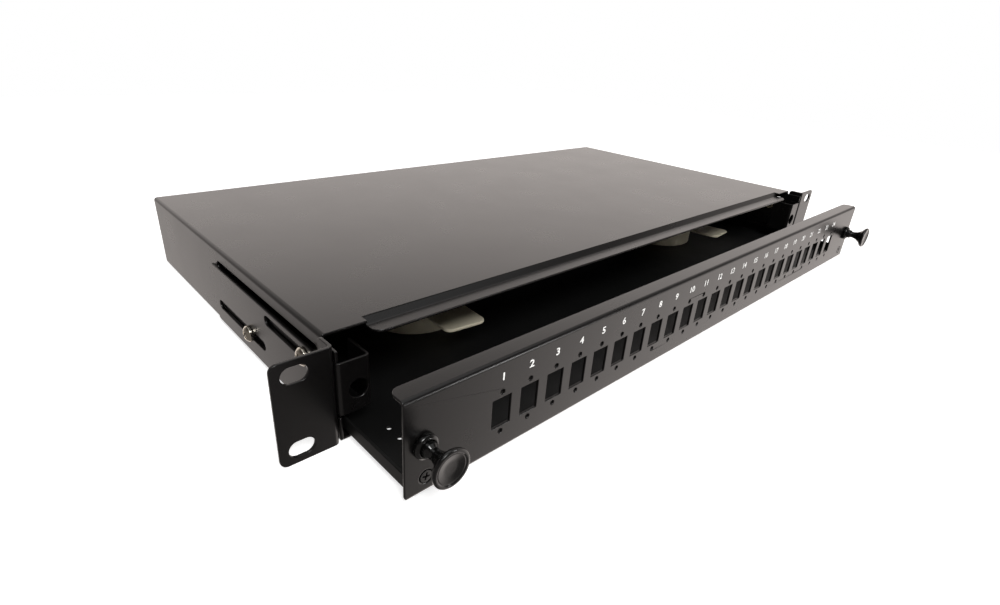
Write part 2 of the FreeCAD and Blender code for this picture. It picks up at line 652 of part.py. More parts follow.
def drawer_guide():
    """The right-hand guide: a short angle on the side wall that holds the tray down."""
    leg = box("guide_leg_plate", ("wall_inner - metal", "wall_inner"), ("guide_front", "guide_rear"),
              ("guide_foot", "guide_foot + guide_leg"))
    shelf = box("guide_shelf", ("wall_inner - guide_reach", "wall_inner"), ("guide_front", "guide_rear"),
                ("guide_foot", "guide_foot + metal"))
    return fuse("guide_right_shape", [leg, shelf])


def cable_gland(side, x):
    """A cable gland through the rear wall: body, lock nut, seal and cap."""
    start = "shell_depth"
    flange = hexagon(f"gland_{side}_hex", "gland_flats", "gland_hex", x, start, "0", ALONG_Y)
    neck = cylinder(f"gland_{side}_neck", "gland_neck", "gland_neck_length", x, start, "0", ALONG_Y)
    shank = cylinder(f"gland_{side}_shank", "entry_radius", "metal + gland_thread", x,
                     "rear_inner - gland_thread", "0", ALONG_Y)
    bore = cylinder(f"gland_{side}_bore", "gland_bore", "gland_thread + metal + gland_neck_length + 2", x,
                    "rear_inner - gland_thread - 1", "0", ALONG_Y)
    solid = fuse(f"gland_{side}_solid", [flange, neck, shank])
    node(cut(f"gland_{side}_shape", solid, [bore]), f"gland_{side}")
    ring = hexagon(f"gland_{side}_ring", "gland_nut_flats", "gland_nut_height", x,
                   "rear_inner - gland_nut_height", "0", ALONG_Y)
    thread = cylinder(f"gland_{side}_thread", "entry_radius", "gland_nut_height + 2", x,
                      "rear_inner - gland_nut_height - 1", "0", ALONG_Y)
    node(cut(f"gland_nut_{side}_shape", ring, [thread]), f"gland_nut_{side}")
    cap = gland_cap(side)
    place(cap, x, start, "0", ALONG_Y)
    flats = hexagon(f"gland_cap_{side}_hex", "gland_cap_flats", "gland_cap_hex", x,
                    f"{start} + gland_hex + gland_cap_gap", "0", ALONG_Y)
    hollow = cylinder(f"gland_cap_{side}_hollow", "gland_neck", "gland_cap_length + 2", x, f"{start} - 1",
                      "0", ALONG_Y)
    node(fuse(f"gland_cap_{side}_shape", [cap, cut(f"gland_cap_{side}_ring", flats, [hollow])]),
         f"gland_cap_{side}")
    seal = turned_body(f"gland_seal_{side}_turned", [
        ("seal_bore", "seal_start"), ("gland_bore", "seal_start"), ("gland_bore", "seal_start + seal_length"),
        ("seal_bore", "seal_start + seal_length")])
    node(place(seal, x, start, "0", ALONG_Y), f"gland_seal_{side}")


def gland_cap(side):
    """The domed cap that screws onto a gland's neck and squeezes its seal."""
    shoulder, crown = "gland_cap_length - 4.9", "gland_cap_length - 0.9"
    cap = turned_body(f"gland_cap_{side}_turned", [
        ("gland_neck", "gland_hex + gland_cap_gap"), ("gland_cap_radius", "gland_hex + gland_cap_gap"),
        ("gland_cap_radius", shoulder), ("gland_cap_radius - gland_cap_wall", crown),
        ("gland_bore + 0.4", "gland_cap_length"), ("gland_bore", "gland_cap_length"),
        ("gland_bore", "gland_neck_length"), ("gland_neck", "gland_neck_length")])
    length, radius = size("gland_cap_length"), size("gland_cap_radius")
    rings = [(radius, length - 4.9), (radius - size("gland_cap_wall"), length - 0.9)]
    soften(cap, f"gland_cap_{side}_dome", 1.5, rings_at(cap.Tip.Shape, rings))
    return cap


def blanking_plug(side, x):
    """A push-in plug that closes a spare cable entry."""
    rim, inner, end = "entry_radius + plug_rim", "entry_radius - plug_wall", "0 - metal - plug_depth"
    plug = turned_body(f"blanking_plug_{side}_turned", [
        ("0", "plug_head - 1.2"), ("0", "plug_head"), (f"{rim} - 0.6", "plug_head"), (rim, "plug_head - 1"),
        (rim, "0"), ("entry_radius", "0"), ("entry_radius", "0 - metal"),
        ("entry_radius - plug_bevel", end), (inner, end), (inner, "plug_head - 1.2")])
    node(place(plug, x, "shell_depth", "0", ALONG_Y), f"blanking_plug_{side}")


def ground_screw():
    """Earthing screw with its washer, in the rear wall."""
    x = "ground_x"
    head = hexagon("ground_head_hex", "ground_flats", "ground_head", x, "shell_depth + ground_washer", "0",
                   ALONG_Y)
    washer = cylinder("ground_washer_disc", "ground_washer_radius", "ground_washer", x, "shell_depth", "0",
                      ALONG_Y)
    shank = cylinder("ground_shank", "ground_radius", "ground_end", x, "shell_depth - ground_end", "0",
                     ALONG_Y)
    nut = hexagon("ground_nut_hex", "ground_flats", "ground_nut", x, "rear_inner - ground_nut", "0", ALONG_Y)
    return fuse("ground_screw_shape", [head, washer, shank, nut])


def cross_recess(name, head, across, depth, level):
    """Cut a cross recess into a screw head, from a given level down."""
    bars = [box(f"{name}_bar_{row}", (f"0 - ({a})", a), (f"0 - ({b})", b),
                (f"{level} - {depth}", f"{level} + 1"))
            for row, (a, b) in enumerate(((f"{across} / 2", "0.45"), ("0.45", f"{across} / 2")))]
    return cut(name, head, bars)


def bracket_screw():
    """Pan head screw that clamps a rack bracket; its head stands on Z = 0."""
    radius, head, height = "bracket_screw_radius", "bracket_head", "bracket_head_height"
    body = turned_body("bracket_screw_turned", [
        ("0", "0 - bracket_screw_length"), (f"{radius} - 0.5", "0 - bracket_screw_length"),
        (radius, "0.6 - bracket_screw_length"), (radius, "0"), (head, "0"), (head, f"{height} - 1.6"),
        (f"{head} - 1.1", f"{height} - 0.2"), ("0", height)])
    wide, top = size(head), size(height)
    rings = [(wide, top - 1.6), (wide - 1.1, top - 0.2)]
    soften(body, "bracket_screw_dome", 0.7, rings_at(body.Shape, rings))
    return cross_recess("bracket_screw_master", body, f"{head} * 1.1", "1.5", height)


def rack_bracket():
    """Right-hand rack bracket: an ear across the front and a slotted plate along the side wall."""
    body = doc.addObject("PartDesign::Body", "rack_bracket")
    sketch = sketch_on(body, "bracket_section", "XY_Plane")
    outline(sketch, [
        ("ear_reach", "0"), ("ear_reach", "plate"), ("plate_outer", "plate"), ("plate_outer", "plate_rear"),
        ("plate_inner", "plate_rear"), ("plate_inner", "0")])
    pad(body, sketch, "bracket_pad", "ear_height", both_ways=True)
    inner = size("plate_inner")
    plate, tall, rear = size("plate"), size("plate_tall"), size("plate_rear")
    high = size("ear_height") / 2
    soften(body, "bracket_bend", size("plate_bend"), edges_along(body.Shape, 2, [(inner, 0)]))
    soften(body, "bracket_inner_bend", size("plate_bend") - plate,
           edges_along(body.Shape, 2, [(inner + plate, plate)]))
    above = sketch_on(body, "bracket_above", "YZ_Plane")
    rectangle(above, ("plate_tall", "plate_rear + 1"), ("plate_top", "ear_height / 2 + 1"))
    pocket(body, above, "bracket_above_cut")
    below = sketch_on(body, "bracket_below", "YZ_Plane")
    rectangle(below, ("plate_bend + 1", "plate_rear + 1"), ("0 - ear_height / 2 - 1", "plate_foot"))
    pocket(body, below, "bracket_below_cut")
    reach = size("ear_reach")
    soften(body, "bracket_ear_corners", size("ear_round"),
           edges_along(body.Shape, 1, [(reach, high), (reach, -high)]))
    soften(body, "bracket_plate_corners", 2.0, edges_along(body.Shape, 0, [
        (rear, size("plate_top")), (rear, size("plate_foot")), (tall, high)]))
    slots = [slot_along_y(f"bracket_slot_{row}", start, end, "side_slot_width", "plate_inner - 1",
                          "plate + 2", z)
             for row, (start, end, z) in enumerate((
                 ("front_slot_start", "front_slot_end", "front_slot_z"),
                 ("rear_slot_start", "rear_slot_end", "rear_slot_z")))]
    rack_slots = []
    half, flat = "ear_slot_width / 2", "(ear_slot_length - ear_slot_width) / 2"
    for row, z in enumerate(("0 - ear_slot_z", "ear_slot_z")):
        middle = box(f"ear_slot_{row}", (f"ear_slot_x - {flat}", f"ear_slot_x + {flat}"),
                     ("0 - 1", "plate + 1"), (f"{z} - {half}", f"{z} + {half}"))
        ends = [cylinder(f"ear_slot_{row}_end_{index}", half, "plate + 2", x, "0 - 1", z, ALONG_Y)
                for index, x in enumerate((f"ear_slot_x - {flat}", f"ear_slot_x + {flat}"))]
        rack_slots.append(fuse(f"ear_slot_{row}_cut", [middle] + ends))
    return cut("rack_bracket_right_shape", body, slots + rack_slots)


def adapter_panel():
    """Front panel: one sheet with a top flange, a bottom flange and a row of adapter windows."""
    body = doc.addObject("PartDesign::Body", "adapter_panel_body")
    sketch = sketch_on(body, "panel_section", "YZ_Plane")
    outline(sketch, [
        ("panel_face", "panel_foot"), ("panel_face", "panel_top"), ("panel_face + panel_flange", "panel_top"),
        ("panel_face + panel_flange", "panel_top - metal"), ("panel_back", "panel_top - metal"),
        ("panel_back", "panel_foot + metal"), ("panel_face + panel_lip", "panel_foot + metal"),
        ("panel_face + panel_lip", "panel_foot")])
    pad(body, sketch, "panel_pad", "panel_half * 2", both_ways=True)
    metal, bend = size("metal"), size("bend")
    face, back, half = size("panel_face"), size("panel_back"), size("panel_half")
    top, foot = size("panel_top"), size("panel_foot")
    soften(body, "panel_bends", bend, edges_along(body.Shape, 0, [(face, top), (face, foot)]))
    soften(body, "panel_inner_bends", bend - metal,
           edges_along(body.Shape, 0, [(back, top - metal), (back, foot + metal)]))
    ends = sketch_on(body, "panel_lip_end", "XY_Plane")
    rectangle(ends, ("panel_lip_half", "panel_half + 1"), ("panel_back", "panel_face + panel_lip + 1"))
    mirror_feature(body, "panel_lip_ends", pocket(body, ends, "panel_lip_end_cut", both_ways=False))
    notch = sketch_on(body, "panel_notch", "XZ_Plane")
    rectangle(notch, ("panel_lip_half - relief", "panel_lip_half + relief"),
              ("panel_foot - 1", "panel_foot + bend"))
    mirror_feature(body, "panel_notches", pocket(body, notch, "panel_notch_cut"))
    flange = face + size("panel_flange")
    soften(body, "panel_flange_corners", size("flange_round"),
           edges_along(body.Shape, 2, [(half, flange), (-half, flange)]))
    port = sketch_on(body, "panel_port", "XZ_Plane")
    first = "(0 - (port_count - 1) * port_pitch / 2)"
    rectangle(port, (f"{first} - window_width / 2", f"{first} + window_width / 2"),
              ("port_mid - window_height / 2", "port_mid + window_height / 2"))
    for z in ("port_mid - port_hole_step", "port_mid + port_hole_step"):
        circle(port, "port_hole_radius", first, z)
    window = pocket(body, port, "panel_port_cut")
    row = body.newObject("PartDesign::LinearPattern", "panel_ports")
    row.Originals = [window]
    row.Direction = (port, ["H_Axis"])
    bind(row, Length="(port_count - 1) * port_pitch", Occurrences="port_count")
    body.Tip = row
    doc.recompute()
    if body.Shape.isNull() or abs(row.Length.Value - (size("port_count") - 1) * size("port_pitch")) > 1e-6:
        raise ValueError("the row of windows failed")
    fixings = sketch_on(body, "panel_fixings", "XZ_Plane")
    circle(fixings, "sleeve_radius - sleeve_bite", "latch_x", "latch_z")
    circle(fixings, "panel_screw_radius + panel_screw_fit", "panel_screw_x", "panel_screw_z")
    mirror_feature(body, "panel_fixings_both", pocket(body, fixings, "panel_fixings_cut"))
    sinks = [cone_sink(f"panel_sink_{side}", x) for side, x in
             (("left", "0 - panel_screw_x"), ("right", "panel_screw_x"))]
    corner = panel_corner()
    return cut("adapter_panel_shape", body, sinks + [corner, mirror("panel_corner_left", corner)])


def panel_corner():
    """What rounds the panel's lower right corner takes away."""
    centre_x, centre_z = "panel_half - panel_round", "panel_foot + panel_round"
    square = box("panel_corner_square", (centre_x, "panel_half + 1"), ("panel_face - 1", "panel_back + 1"),
                 ("panel_foot - 1", centre_z))
    disc = cylinder("panel_corner_disc", "panel_round", "metal + 4", centre_x, "panel_face - 2", centre_z,
                    ALONG_Y)
    return cut("panel_corner_right", square, [disc])


def cone_sink(name, x):
    """Countersink for a panel screw."""
    cone = doc.addObject("Part::Cone", name)
    bind(cone, Radius1="panel_screw_radius + metal", Radius2="panel_screw_radius", Height="metal")
    return place(cone, x, "panel_face", "panel_screw_z", ALONG_Y)


def drawer_tray():
    """Tray floor with side flanges, front tabs for the panel screws and rear stops."""
    half, foot, metal, bend = size("tray_half"), size("tray_foot"), size("metal"), size("bend")
    length = ("panel_back + bend - metal", "tray_rear")
    outer = box("tray_outer", ("0 - tray_half", "tray_half"), length, ("tray_foot", "tray_foot + tray_side"))
    doc.recompute()
    outer = round_edges("tray_bends", outer, bend, 1, [(-half, foot), (half, foot)])
    inner = box("tray_inside", ("metal - tray_half", "tray_half - metal"),
                ("panel_back - 1", "tray_rear + 1"), ("tray_floor", "tray_foot + tray_side + 1"))
    doc.recompute()
    inner = round_edges("tray_inside_bends", inner, bend - metal, 1,
                        [(metal - half, foot + metal), (half - metal, foot + metal)])
    pieces = [cut("tray_trough", outer, [inner])]
    pieces.append(box("tray_rear_flange", ("relief * 2 - stop_inner", "stop_inner - relief * 2"),
                      ("tray_rear - metal", "tray_rear"), ("tray_foot", "tray_foot + tray_side")))
    for side, sign in (("left", "0 -"), ("right", "")):
        near, far = (f"{sign} tray_tab_inner", f"{sign} (tray_half - bend)")
        stop_near, stop_far = (f"{sign} stop_inner", f"{sign} stop_outer")
        across, stop_across = (near, far), (stop_near, stop_far)
        if sign:
            across, stop_across = across[::-1], stop_across[::-1]
        pieces.append(box(f"tray_tab_{side}", across, ("panel_back", "panel_back + metal"),
                          ("tray_foot", "tray_tab_top")))
        pieces.append(box(f"tray_stop_{side}", stop_across, ("tray_rear - metal", "tray_rear"),
                          ("tray_foot", "stop_top")))
    holes = []
    for side, sign in (("left", "0 -"), ("right", "")):
        holes.append(cylinder(f"tray_screw_{side}", "panel_screw_radius - thread_bite", "metal + 2",
                              f"{sign} panel_screw_x", "panel_back - 1", "panel_screw_z", ALONG_Y))
        for step in range(2):
            holes.append(cylinder(f"tray_tie_{side}_{step}", "tie_hole_radius", "metal + 2",
                                  f"{sign} tie_hole_x", f"panel_back + tie_hole_y - {step} * tie_hole_step",
                                  "tray_foot - 1"))
    for row, (x, y) in enumerate(SPOOL_SCREWS):
        holes.append(cylinder(f"tray_spool_hole_{row}", "spool_screw_radius - thread_bite", "metal + 2", x, y,
                              "tray_foot - 1"))
    return cut("drawer_tray_shape", fuse("tray_whole", pieces), holes)


def panel_screw():
    """Countersunk screw; its head is level with Z = 0 and it points along +Z."""
    radius, length = "panel_screw_radius", "panel_screw_length"
    body = turned_body("panel_screw_turned", [
        ("0", "0.05"), (f"{radius} + metal - 0.2", "0.05"), (radius, "metal - 0.15"),
        (radius, f"{length} - 0.6"), (f"{radius} - 0.6", length), ("0", length)])
    bars = [box(f"panel_screw_bar_{row}", (f"0 - {a}", a), (f"0 - {b}", b), ("0 - 1", "0.95"))
            for row, (a, b) in enumerate((("1.75", "0.42"), ("0.42", "1.75")))]
    return cut("panel_screw_master", body, bars)


def latch_collar(side, x):
    """Latch collar: a ring on the panel with the sleeve that enters the housing flange."""
    collar = turned_body(f"latch_collar_{side}_turned", [
        ("sleeve_bore", "0 - metal - sleeve_length"), ("sleeve_bore + 0.1", "0 - metal - sleeve_length"),
        ("sleeve_radius", "1.2 - metal - sleeve_length"), ("sleeve_radius", "0"), ("collar_radius", "0"),
        ("collar_radius", "collar_height - 0.9"), ("collar_radius - 1.1", "collar_height"),
        ("sleeve_bore + 0.4", "collar_height"), ("sleeve_bore", "collar_height - 0.4")])
    node(place(collar, x, "panel_face", "latch_z", TOWARDS_FRONT), f"latch_collar_{side}")


def latch_pin(side, x):
    """Latch pin with its dished knob, pulled out."""
    radius = "(sleeve_bore - pin_fit)"
    pin = turned_body(f"latch_pin_{side}_turned", [
        ("0", "pin_end - sleeve_length"), (f"{radius} - 1", "pin_end - sleeve_length"),
        (radius, "pin_end + 1 - sleeve_length"),
        (radius, "pin_shoulder - 0.7"), (f"{radius} - 0.5", "pin_shoulder"),
        ("pin_waist", "pin_shoulder + 0.6"),
        ("pin_waist", "pin_shoulder + 1.8"), ("pin_waist + 0.9", "knob_front - knob_rim - 3.9"),
        ("pin_waist + 2.6", "knob_front - knob_rim - 1.7"), ("knob_radius - 0.5", "knob_front - knob_rim"),
        ("knob_radius", "knob_front - knob_rim + 0.6"), ("knob_radius", "knob_front - 0.6"),
        ("knob_radius - 0.6", "knob_front"), ("knob_radius - 1.5", "knob_front"),
        ("knob_radius - 2.4", "knob_front - 0.8"), ("0", "knob_front - 1")])
    node(place(pin, x, "panel_face", "latch_z", TOWARDS_FRONT), f"latch_pin_{side}")


def fibre_spool(side, x, turn):
    """Fibre spool: a ring that stands on the tray, with four petals that keep the fibre down."""
    middle = (x, "spool_y")
    ring = turned_body(f"fibre_spool_{side}_ring", [
        ("spool_hub", "0"), ("spool_radius", "0"), ("spool_radius", "spool_height"),
        ("petal_inner", "spool_height"), ("petal_inner", "spool_floor"), ("spool_hub", "spool_floor")])
    place(ring, *middle, "tray_floor")
    petals = []
    for step in range(4):
        name = f"fibre_spool_{side}_petal_{step}"
        petal = doc.addObject("Part::Box", name)
        bind(petal, Length="petal_reach - spool_radius / 2", Width="petal_width", Height="spool_floor")
        petal.Placement = Placement(Vector(size("spool_radius") / 2, -size("petal_width") / 2, 0), Rotation())
        doc.recompute()
        reach, side_edge = size("petal_reach"), size("petal_width") / 2
        rounded = round_edges(name + "_round", petal, size("petal_round"), 2,
                              [(reach, -side_edge), (reach, side_edge)])
        rounded = round_edges(name + "_edge", rounded, 0.5, 1, [(reach, size("spool_floor"))])
        petals.append(place(rounded, *middle, "tray_floor + spool_height - spool_floor",
                            Rotation(Vector(0, 0, 1), turn + 90 * step)))
    inside = cylinder(f"fibre_spool_{side}_inside", "petal_inner", "spool_height", *middle, "spool_base")
    crown = cut(f"fibre_spool_{side}_crown", fuse(f"fibre_spool_{side}_petals", petals), [inside])
    holes = [cylinder(f"fibre_spool_{side}_hole_{row}", "spool_screw_radius + 0.1", "spool_floor + 2",
                      f"{x} {sign} spool_screw_step", middle[1], "tray_floor - 1")
             for row, sign in enumerate("-+")]
    node(cut(f"fibre_spool_{side}_shape", fuse(f"fibre_spool_{side}_whole", [ring, crown]), holes),
         f"fibre_spool_{side}")


def spool_screw_master():
    """Pan head screw that holds a spool; its head stands on Z = 0."""
    body = turned_body("spool_screw_turned", [
        ("0", "0 - spool_floor - metal"), ("spool_screw_radius", "0 - spool_floor - metal"),
        ("spool_screw_radius", "0"), ("spool_head", "0"), ("spool_head", "spool_head_height - 0.9"),
        ("spool_head - 0.8", "spool_head_height - 0.1"), ("0", "spool_head_height")])
    return cross_recess("spool_screw_master", body, "spool_head * 1.07", "1", "spool_head_height")


def splice_cassette():
    """Splice cassette: a shallow round-cornered dish, and its lid."""
    across, along = ("cassette_left", "cassette_right"), ("cassette_front", "cassette_rear")
    x_low, x_high = size("cassette_left"), size("cassette_right")
    y_low, y_high = size("cassette_front"), size("cassette_rear")
    radius, wall = size("cassette_round"), size("cassette_wall")
    outer = box("cassette_outer", across, along, ("tray_floor", "cassette_top"))
    lid = box("cassette_lid_plate", across, along, ("cassette_top", "lid_top"))
    inner = box("cassette_inner", ("cassette_left + cassette_wall", "cassette_right - cassette_wall"),
                ("cassette_front + cassette_wall", "cassette_rear - cassette_wall"),
                ("tray_floor + cassette_wall", "cassette_top + 1"))
    doc.recompute()
    corners = [(x, y) for x in (x_low, x_high) for y in (y_low, y_high)]
    inner_corners = [(x, y) for x in (x_low + wall, x_high - wall) for y in (y_low + wall, y_high - wall)]
    outer = round_edges("cassette_round_outer", outer, radius, 2, corners)
    inner = round_edges("cassette_round_inner", inner, radius - wall, 2, inner_corners)
    lid = round_edges("cassette_round_lid", lid, radius, 2, corners)
    mouth = box("cassette_mouth_cut", ("cassette_x - cassette_mouth / 2", "cassette_x + cassette_mouth / 2"),
                ("cassette_rear - cassette_wall - 1", "cassette_rear + 1"),
                ("tray_floor + cassette_wall", "cassette_top + 1"))
    node(cut("splice_cassette_shape", outer, [inner, mouth] + post_holes("cassette")), "splice_cassette")
    node(cut("cassette_lid_shape", lid, post_holes("lid")), "cassette_lid")


def post_holes(name):
    """Clearance holes for the two cassette posts."""
    return [cylinder(f"{name}_post_hole_{row}", "post_radius + post_fit", "lid_top - tray_floor + 2", x, y,
                     "tray_floor - 1")
            for row, (x, y) in enumerate(CASSETTE_POSTS)]


def splice_comb():
    """Comb of splice slots that stands in the cassette."""
    body = doc.addObject("PartDesign::Body", "splice_comb_body")
    length = "(comb_slots * comb_pitch + comb_ridge)"
    base = sketch_on(body, "comb_base", "XY_Plane")
    rectangle(base, ("0", length), ("0", "comb_length"))
    pad(body, base, "comb_base_pad", "comb_plate")
    tooth = sketch_on(body, "comb_tooth", "XY_Plane")
    rectangle(tooth, ("0", "comb_ridge"), ("0", "comb_length"))
    ridge = pad(body, tooth, "comb_tooth_pad", "comb_height")
    row = body.newObject("PartDesign::LinearPattern", "comb_teeth")
    row.Originals = [ridge]
    row.Direction = (tooth, ["H_Axis"])
    bind(row, Length="comb_slots * comb_pitch", Occurrences="comb_slots + 1")
    body.Tip = row
    doc.recompute()
    return place(body, f"cassette_x - {length} / 2", "cassette_front + comb_front",
                 "tray_floor + cassette_wall")


def cassette_fixings():
    """Threaded posts on the tray floor and the thumb nuts on them."""
    posts, nuts = [], []
    for row, (x, y) in enumerate(CASSETTE_POSTS):
        posts.append(cylinder(f"cassette_post_{row}", "post_radius",
                              "lid_top - tray_floor + nut_height + post_end", x, y, "tray_floor"))
        knurl = cylinder(f"cassette_nut_{row}", "nut_radius", "nut_height", x, y, "lid_top")
        bore = cylinder(f"cassette_nut_bore_{row}", "post_radius", "nut_height + 2", x, y, "lid_top - 1")
        nuts.append(cut(f"cassette_nut_ring_{row}", knurl, [bore]))
    for label, pieces in (("cassette_posts", posts), ("cassette_nuts", nuts)):
        group = doc.addObject("Part::Compound", label + "_group")
        group.Links = pieces
        node(group, label)


def build_housing():
    """Everything that stays with the housing."""
    node(housing_cover(), "housing_cover")
    node(housing_base(), "housing_base")
    guide = node(drawer_guide(), "guide_right")
    node(mirror("guide_left_shape", guide), "guide_left")
    for side, sign in (("left", "0 - "), ("right", "")):
        cable_gland(side, sign + "gland_x")
        blanking_plug(side, sign + "plug_x")
    node(ground_screw(), "ground_screw")
    heads = size("plate_outer") + size("plate_gap")
    spots = [(size(y), size(z)) for y, z in BRACKET_SCREWS]
    screws = [Placement(Vector(side * heads, y, z), ALONG_X if side > 0 else TOWARDS_LEFT)
              for side in (-1, 1) for y, z in spots]
    copies("bracket_screws", bracket_screw(), screws)
    nut = turned_body("clinch_nut_turned", [
        ("clinch_bore", "0"), ("clinch_radius", "0"), ("clinch_radius", "clinch_height"),
        ("clinch_bore", "clinch_height")])
    inner = size("wall_inner")
    nuts = [Placement(Vector(side * inner, y, z), TOWARDS_LEFT if side > 0 else ALONG_X)
            for side in (-1, 1) for y, z in spots]
    copies("clinch_nuts", nut, nuts)


def build_brackets():
    """The two rack brackets."""
    right = node(rack_bracket(), "rack_bracket_right")
    node(mirror("rack_bracket_left_shape", right), "rack_bracket_left")


def build_drawer():
    """Everything that slides with the drawer, and the two latch pins."""
    node(adapter_panel(), "adapter_panel")
    node(drawer_tray(), "drawer_tray")
    x, face, z = size("panel_screw_x"), size("panel_face"), size("panel_screw_z")
    copies("panel_screws", panel_screw(), [Placement(Vector(side * x, face, z), ALONG_Y) for side in (-1, 1)])
    for side, sign in (("left", "0 - "), ("right", "")):
        latch_collar(side, sign + "latch_x")
        latch_pin(side, sign + "latch_x")
    fibre_spool("left", "spool_left_x", 0 - size("petal_turn"))
    fibre_spool("right", "spool_right_x", size("petal_turn"))
    step, y, level = size("spool_screw_step"), size("spool_y"), size("spool_base")
    copies("spool_screws", spool_screw_master(), [
        Placement(Vector(size(middle) + side * step, y, level), Rotation())
        for middle in ("spool_left_x", "spool_right_x") for side in (-1, 1)])
    splice_cassette()
    node(splice_comb(), "splice_comb")
    cassette_fixings()


def check_document():
    """Stop if any object of the document failed or any piece has no valid shape."""
    doc.recompute()
    for item in doc.Objects:
        if "Invalid" in item.State or "Error" in item.State:
            raise ValueError(f"{item.Name} failed: {item.State}")
    for item in NODES:
        if item.Shape.isNull() or not item.Shape.isValid() or not item.Shape.Solids:
            raise ValueError(f"{item.Label} has no valid solid")


def write_parts():
    """Write each piece to its own STEP file."""
    os.makedirs("parts", exist_ok=True)
    for item in NODES:
        item.Shape.exportStep(f"parts/{item.Label}.step")
        print(f"{item.Label}: {len(item.Shape.Solids)} solid(s), {item.Shape.Volume:.1f} mm3")


build_housing()
build_brackets()
build_drawer()
check_document()
write_parts()
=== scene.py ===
"""Studio scene of a sliding fibre termination box for a 19 inch rack.

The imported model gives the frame, in metres. This script rounds and paints the sheet parts, and makes the
pieces whose look needs more than the model holds: printed port numbers, turned latch knobs, screws with
cross recesses, moulded spools, the splice comb and knurled nuts. Every other node keeps its shape and gets
its finish.
"""

import json
import logging
import math
from collections.abc import Sequence
from dataclasses import dataclass
from enum import Enum

import bmesh
import bpy
from mathutils import Matrix, Vector

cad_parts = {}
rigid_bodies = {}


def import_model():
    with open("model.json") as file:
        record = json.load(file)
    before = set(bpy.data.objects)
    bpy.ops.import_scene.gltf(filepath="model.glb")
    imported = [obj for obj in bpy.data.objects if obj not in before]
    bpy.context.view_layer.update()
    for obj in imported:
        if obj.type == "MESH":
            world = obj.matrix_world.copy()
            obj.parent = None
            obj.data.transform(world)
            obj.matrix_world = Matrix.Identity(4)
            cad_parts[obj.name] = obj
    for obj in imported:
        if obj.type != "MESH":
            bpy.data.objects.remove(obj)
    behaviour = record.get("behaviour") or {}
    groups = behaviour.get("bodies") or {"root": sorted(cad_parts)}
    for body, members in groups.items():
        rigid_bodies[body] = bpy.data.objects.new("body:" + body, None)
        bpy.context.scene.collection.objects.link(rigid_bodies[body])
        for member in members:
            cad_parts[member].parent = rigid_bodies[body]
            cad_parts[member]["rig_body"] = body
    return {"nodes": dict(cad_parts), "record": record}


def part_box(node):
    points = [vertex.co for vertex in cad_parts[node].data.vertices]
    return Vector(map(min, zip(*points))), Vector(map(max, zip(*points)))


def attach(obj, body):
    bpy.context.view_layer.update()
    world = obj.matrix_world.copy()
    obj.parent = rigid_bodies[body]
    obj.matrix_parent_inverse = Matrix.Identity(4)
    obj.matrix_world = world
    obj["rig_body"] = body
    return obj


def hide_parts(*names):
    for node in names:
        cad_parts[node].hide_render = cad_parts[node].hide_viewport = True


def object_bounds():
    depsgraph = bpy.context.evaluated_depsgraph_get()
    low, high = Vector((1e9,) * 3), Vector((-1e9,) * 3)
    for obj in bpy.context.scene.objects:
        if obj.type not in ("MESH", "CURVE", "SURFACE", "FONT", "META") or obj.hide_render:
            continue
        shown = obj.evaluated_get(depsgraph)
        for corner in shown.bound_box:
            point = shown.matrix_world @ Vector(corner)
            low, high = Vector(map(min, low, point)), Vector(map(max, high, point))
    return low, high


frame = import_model()
CAD_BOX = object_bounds()

log = logging.getLogger("termination_box")

MM = 0.001
WELD = 2e-6
OUT = Vector((0, -1, 0))
PORTS = 24
FLAT = math.radians(0.4)
AXIS = 1e-7
NOISE_BULK = (0.3, 0.7)
CORNER_SHARE = 0.49
SCREW_CREASE = math.radians(35)
RIDGE_CREASE = math.radians(40)


class Slot(Enum):
    """The record's material slots."""

    POWDER_COAT = "black_powder_coat"
    NICKEL = "nickel_plated_steel"
    BLACK_ZINC = "black_zinc_screws"
    NYLON = "black_nylon"
    GLOSSY_NYLON = "glossy_black_nylon"
    IVORY_ABS = "ivory_abs"
    BLACK_ABS = "black_abs"
    RUBBER = "black_rubber"


SLOT_OF = {entry["node"]: Slot(entry["material_slot"]) for entry in frame["record"]["subparts"]}


def linear(hex_code: str) -> tuple[float, float, float, float]:
    """Turn an sRGB hex colour into linear RGBA.

    Args:
        hex_code: Six hex digits after a hash sign.

    Returns:
        Linear red, green and blue, and an alpha of one.
    """
    channels = (int(hex_code[at:at + 2], 16) / 255 for at in (1, 3, 5))
    return (*(c / 12.92 if c <= 0.04045 else ((c + 0.055) / 1.055) ** 2.4 for c in channels), 1.0)


def add_node(tree: bpy.types.NodeTree, kind: str, inputs: dict | None = None, **settings) -> bpy.types.Node:
    """Add a node with its settings and its inputs.

    Args:
        tree: The tree that gets the node.
        kind: The node's type.
        inputs: By socket name or number, a value, or an output socket to link from.
        **settings: The node's own properties.

    Returns:
        The new node.
    """
    node = tree.nodes.new(kind)
    for name, value in settings.items():
        setattr(node, name, value)
    for key, value in (inputs or {}).items():
        if isinstance(value, bpy.types.NodeSocket):
            tree.links.new(value, node.inputs[key])
        else:
            node.inputs[key].default_value = value
    return node


# ---------------------------------------------------------------------------------------------------------
# Finishes


def per_mm(size: float) -> float:
    """Give the scale of a noise texture in Object coordinates.

    Args:
        size: How far its features are across, in millimetres.

    Returns:
        The scale.
    """
    return 1 / (size * MM)


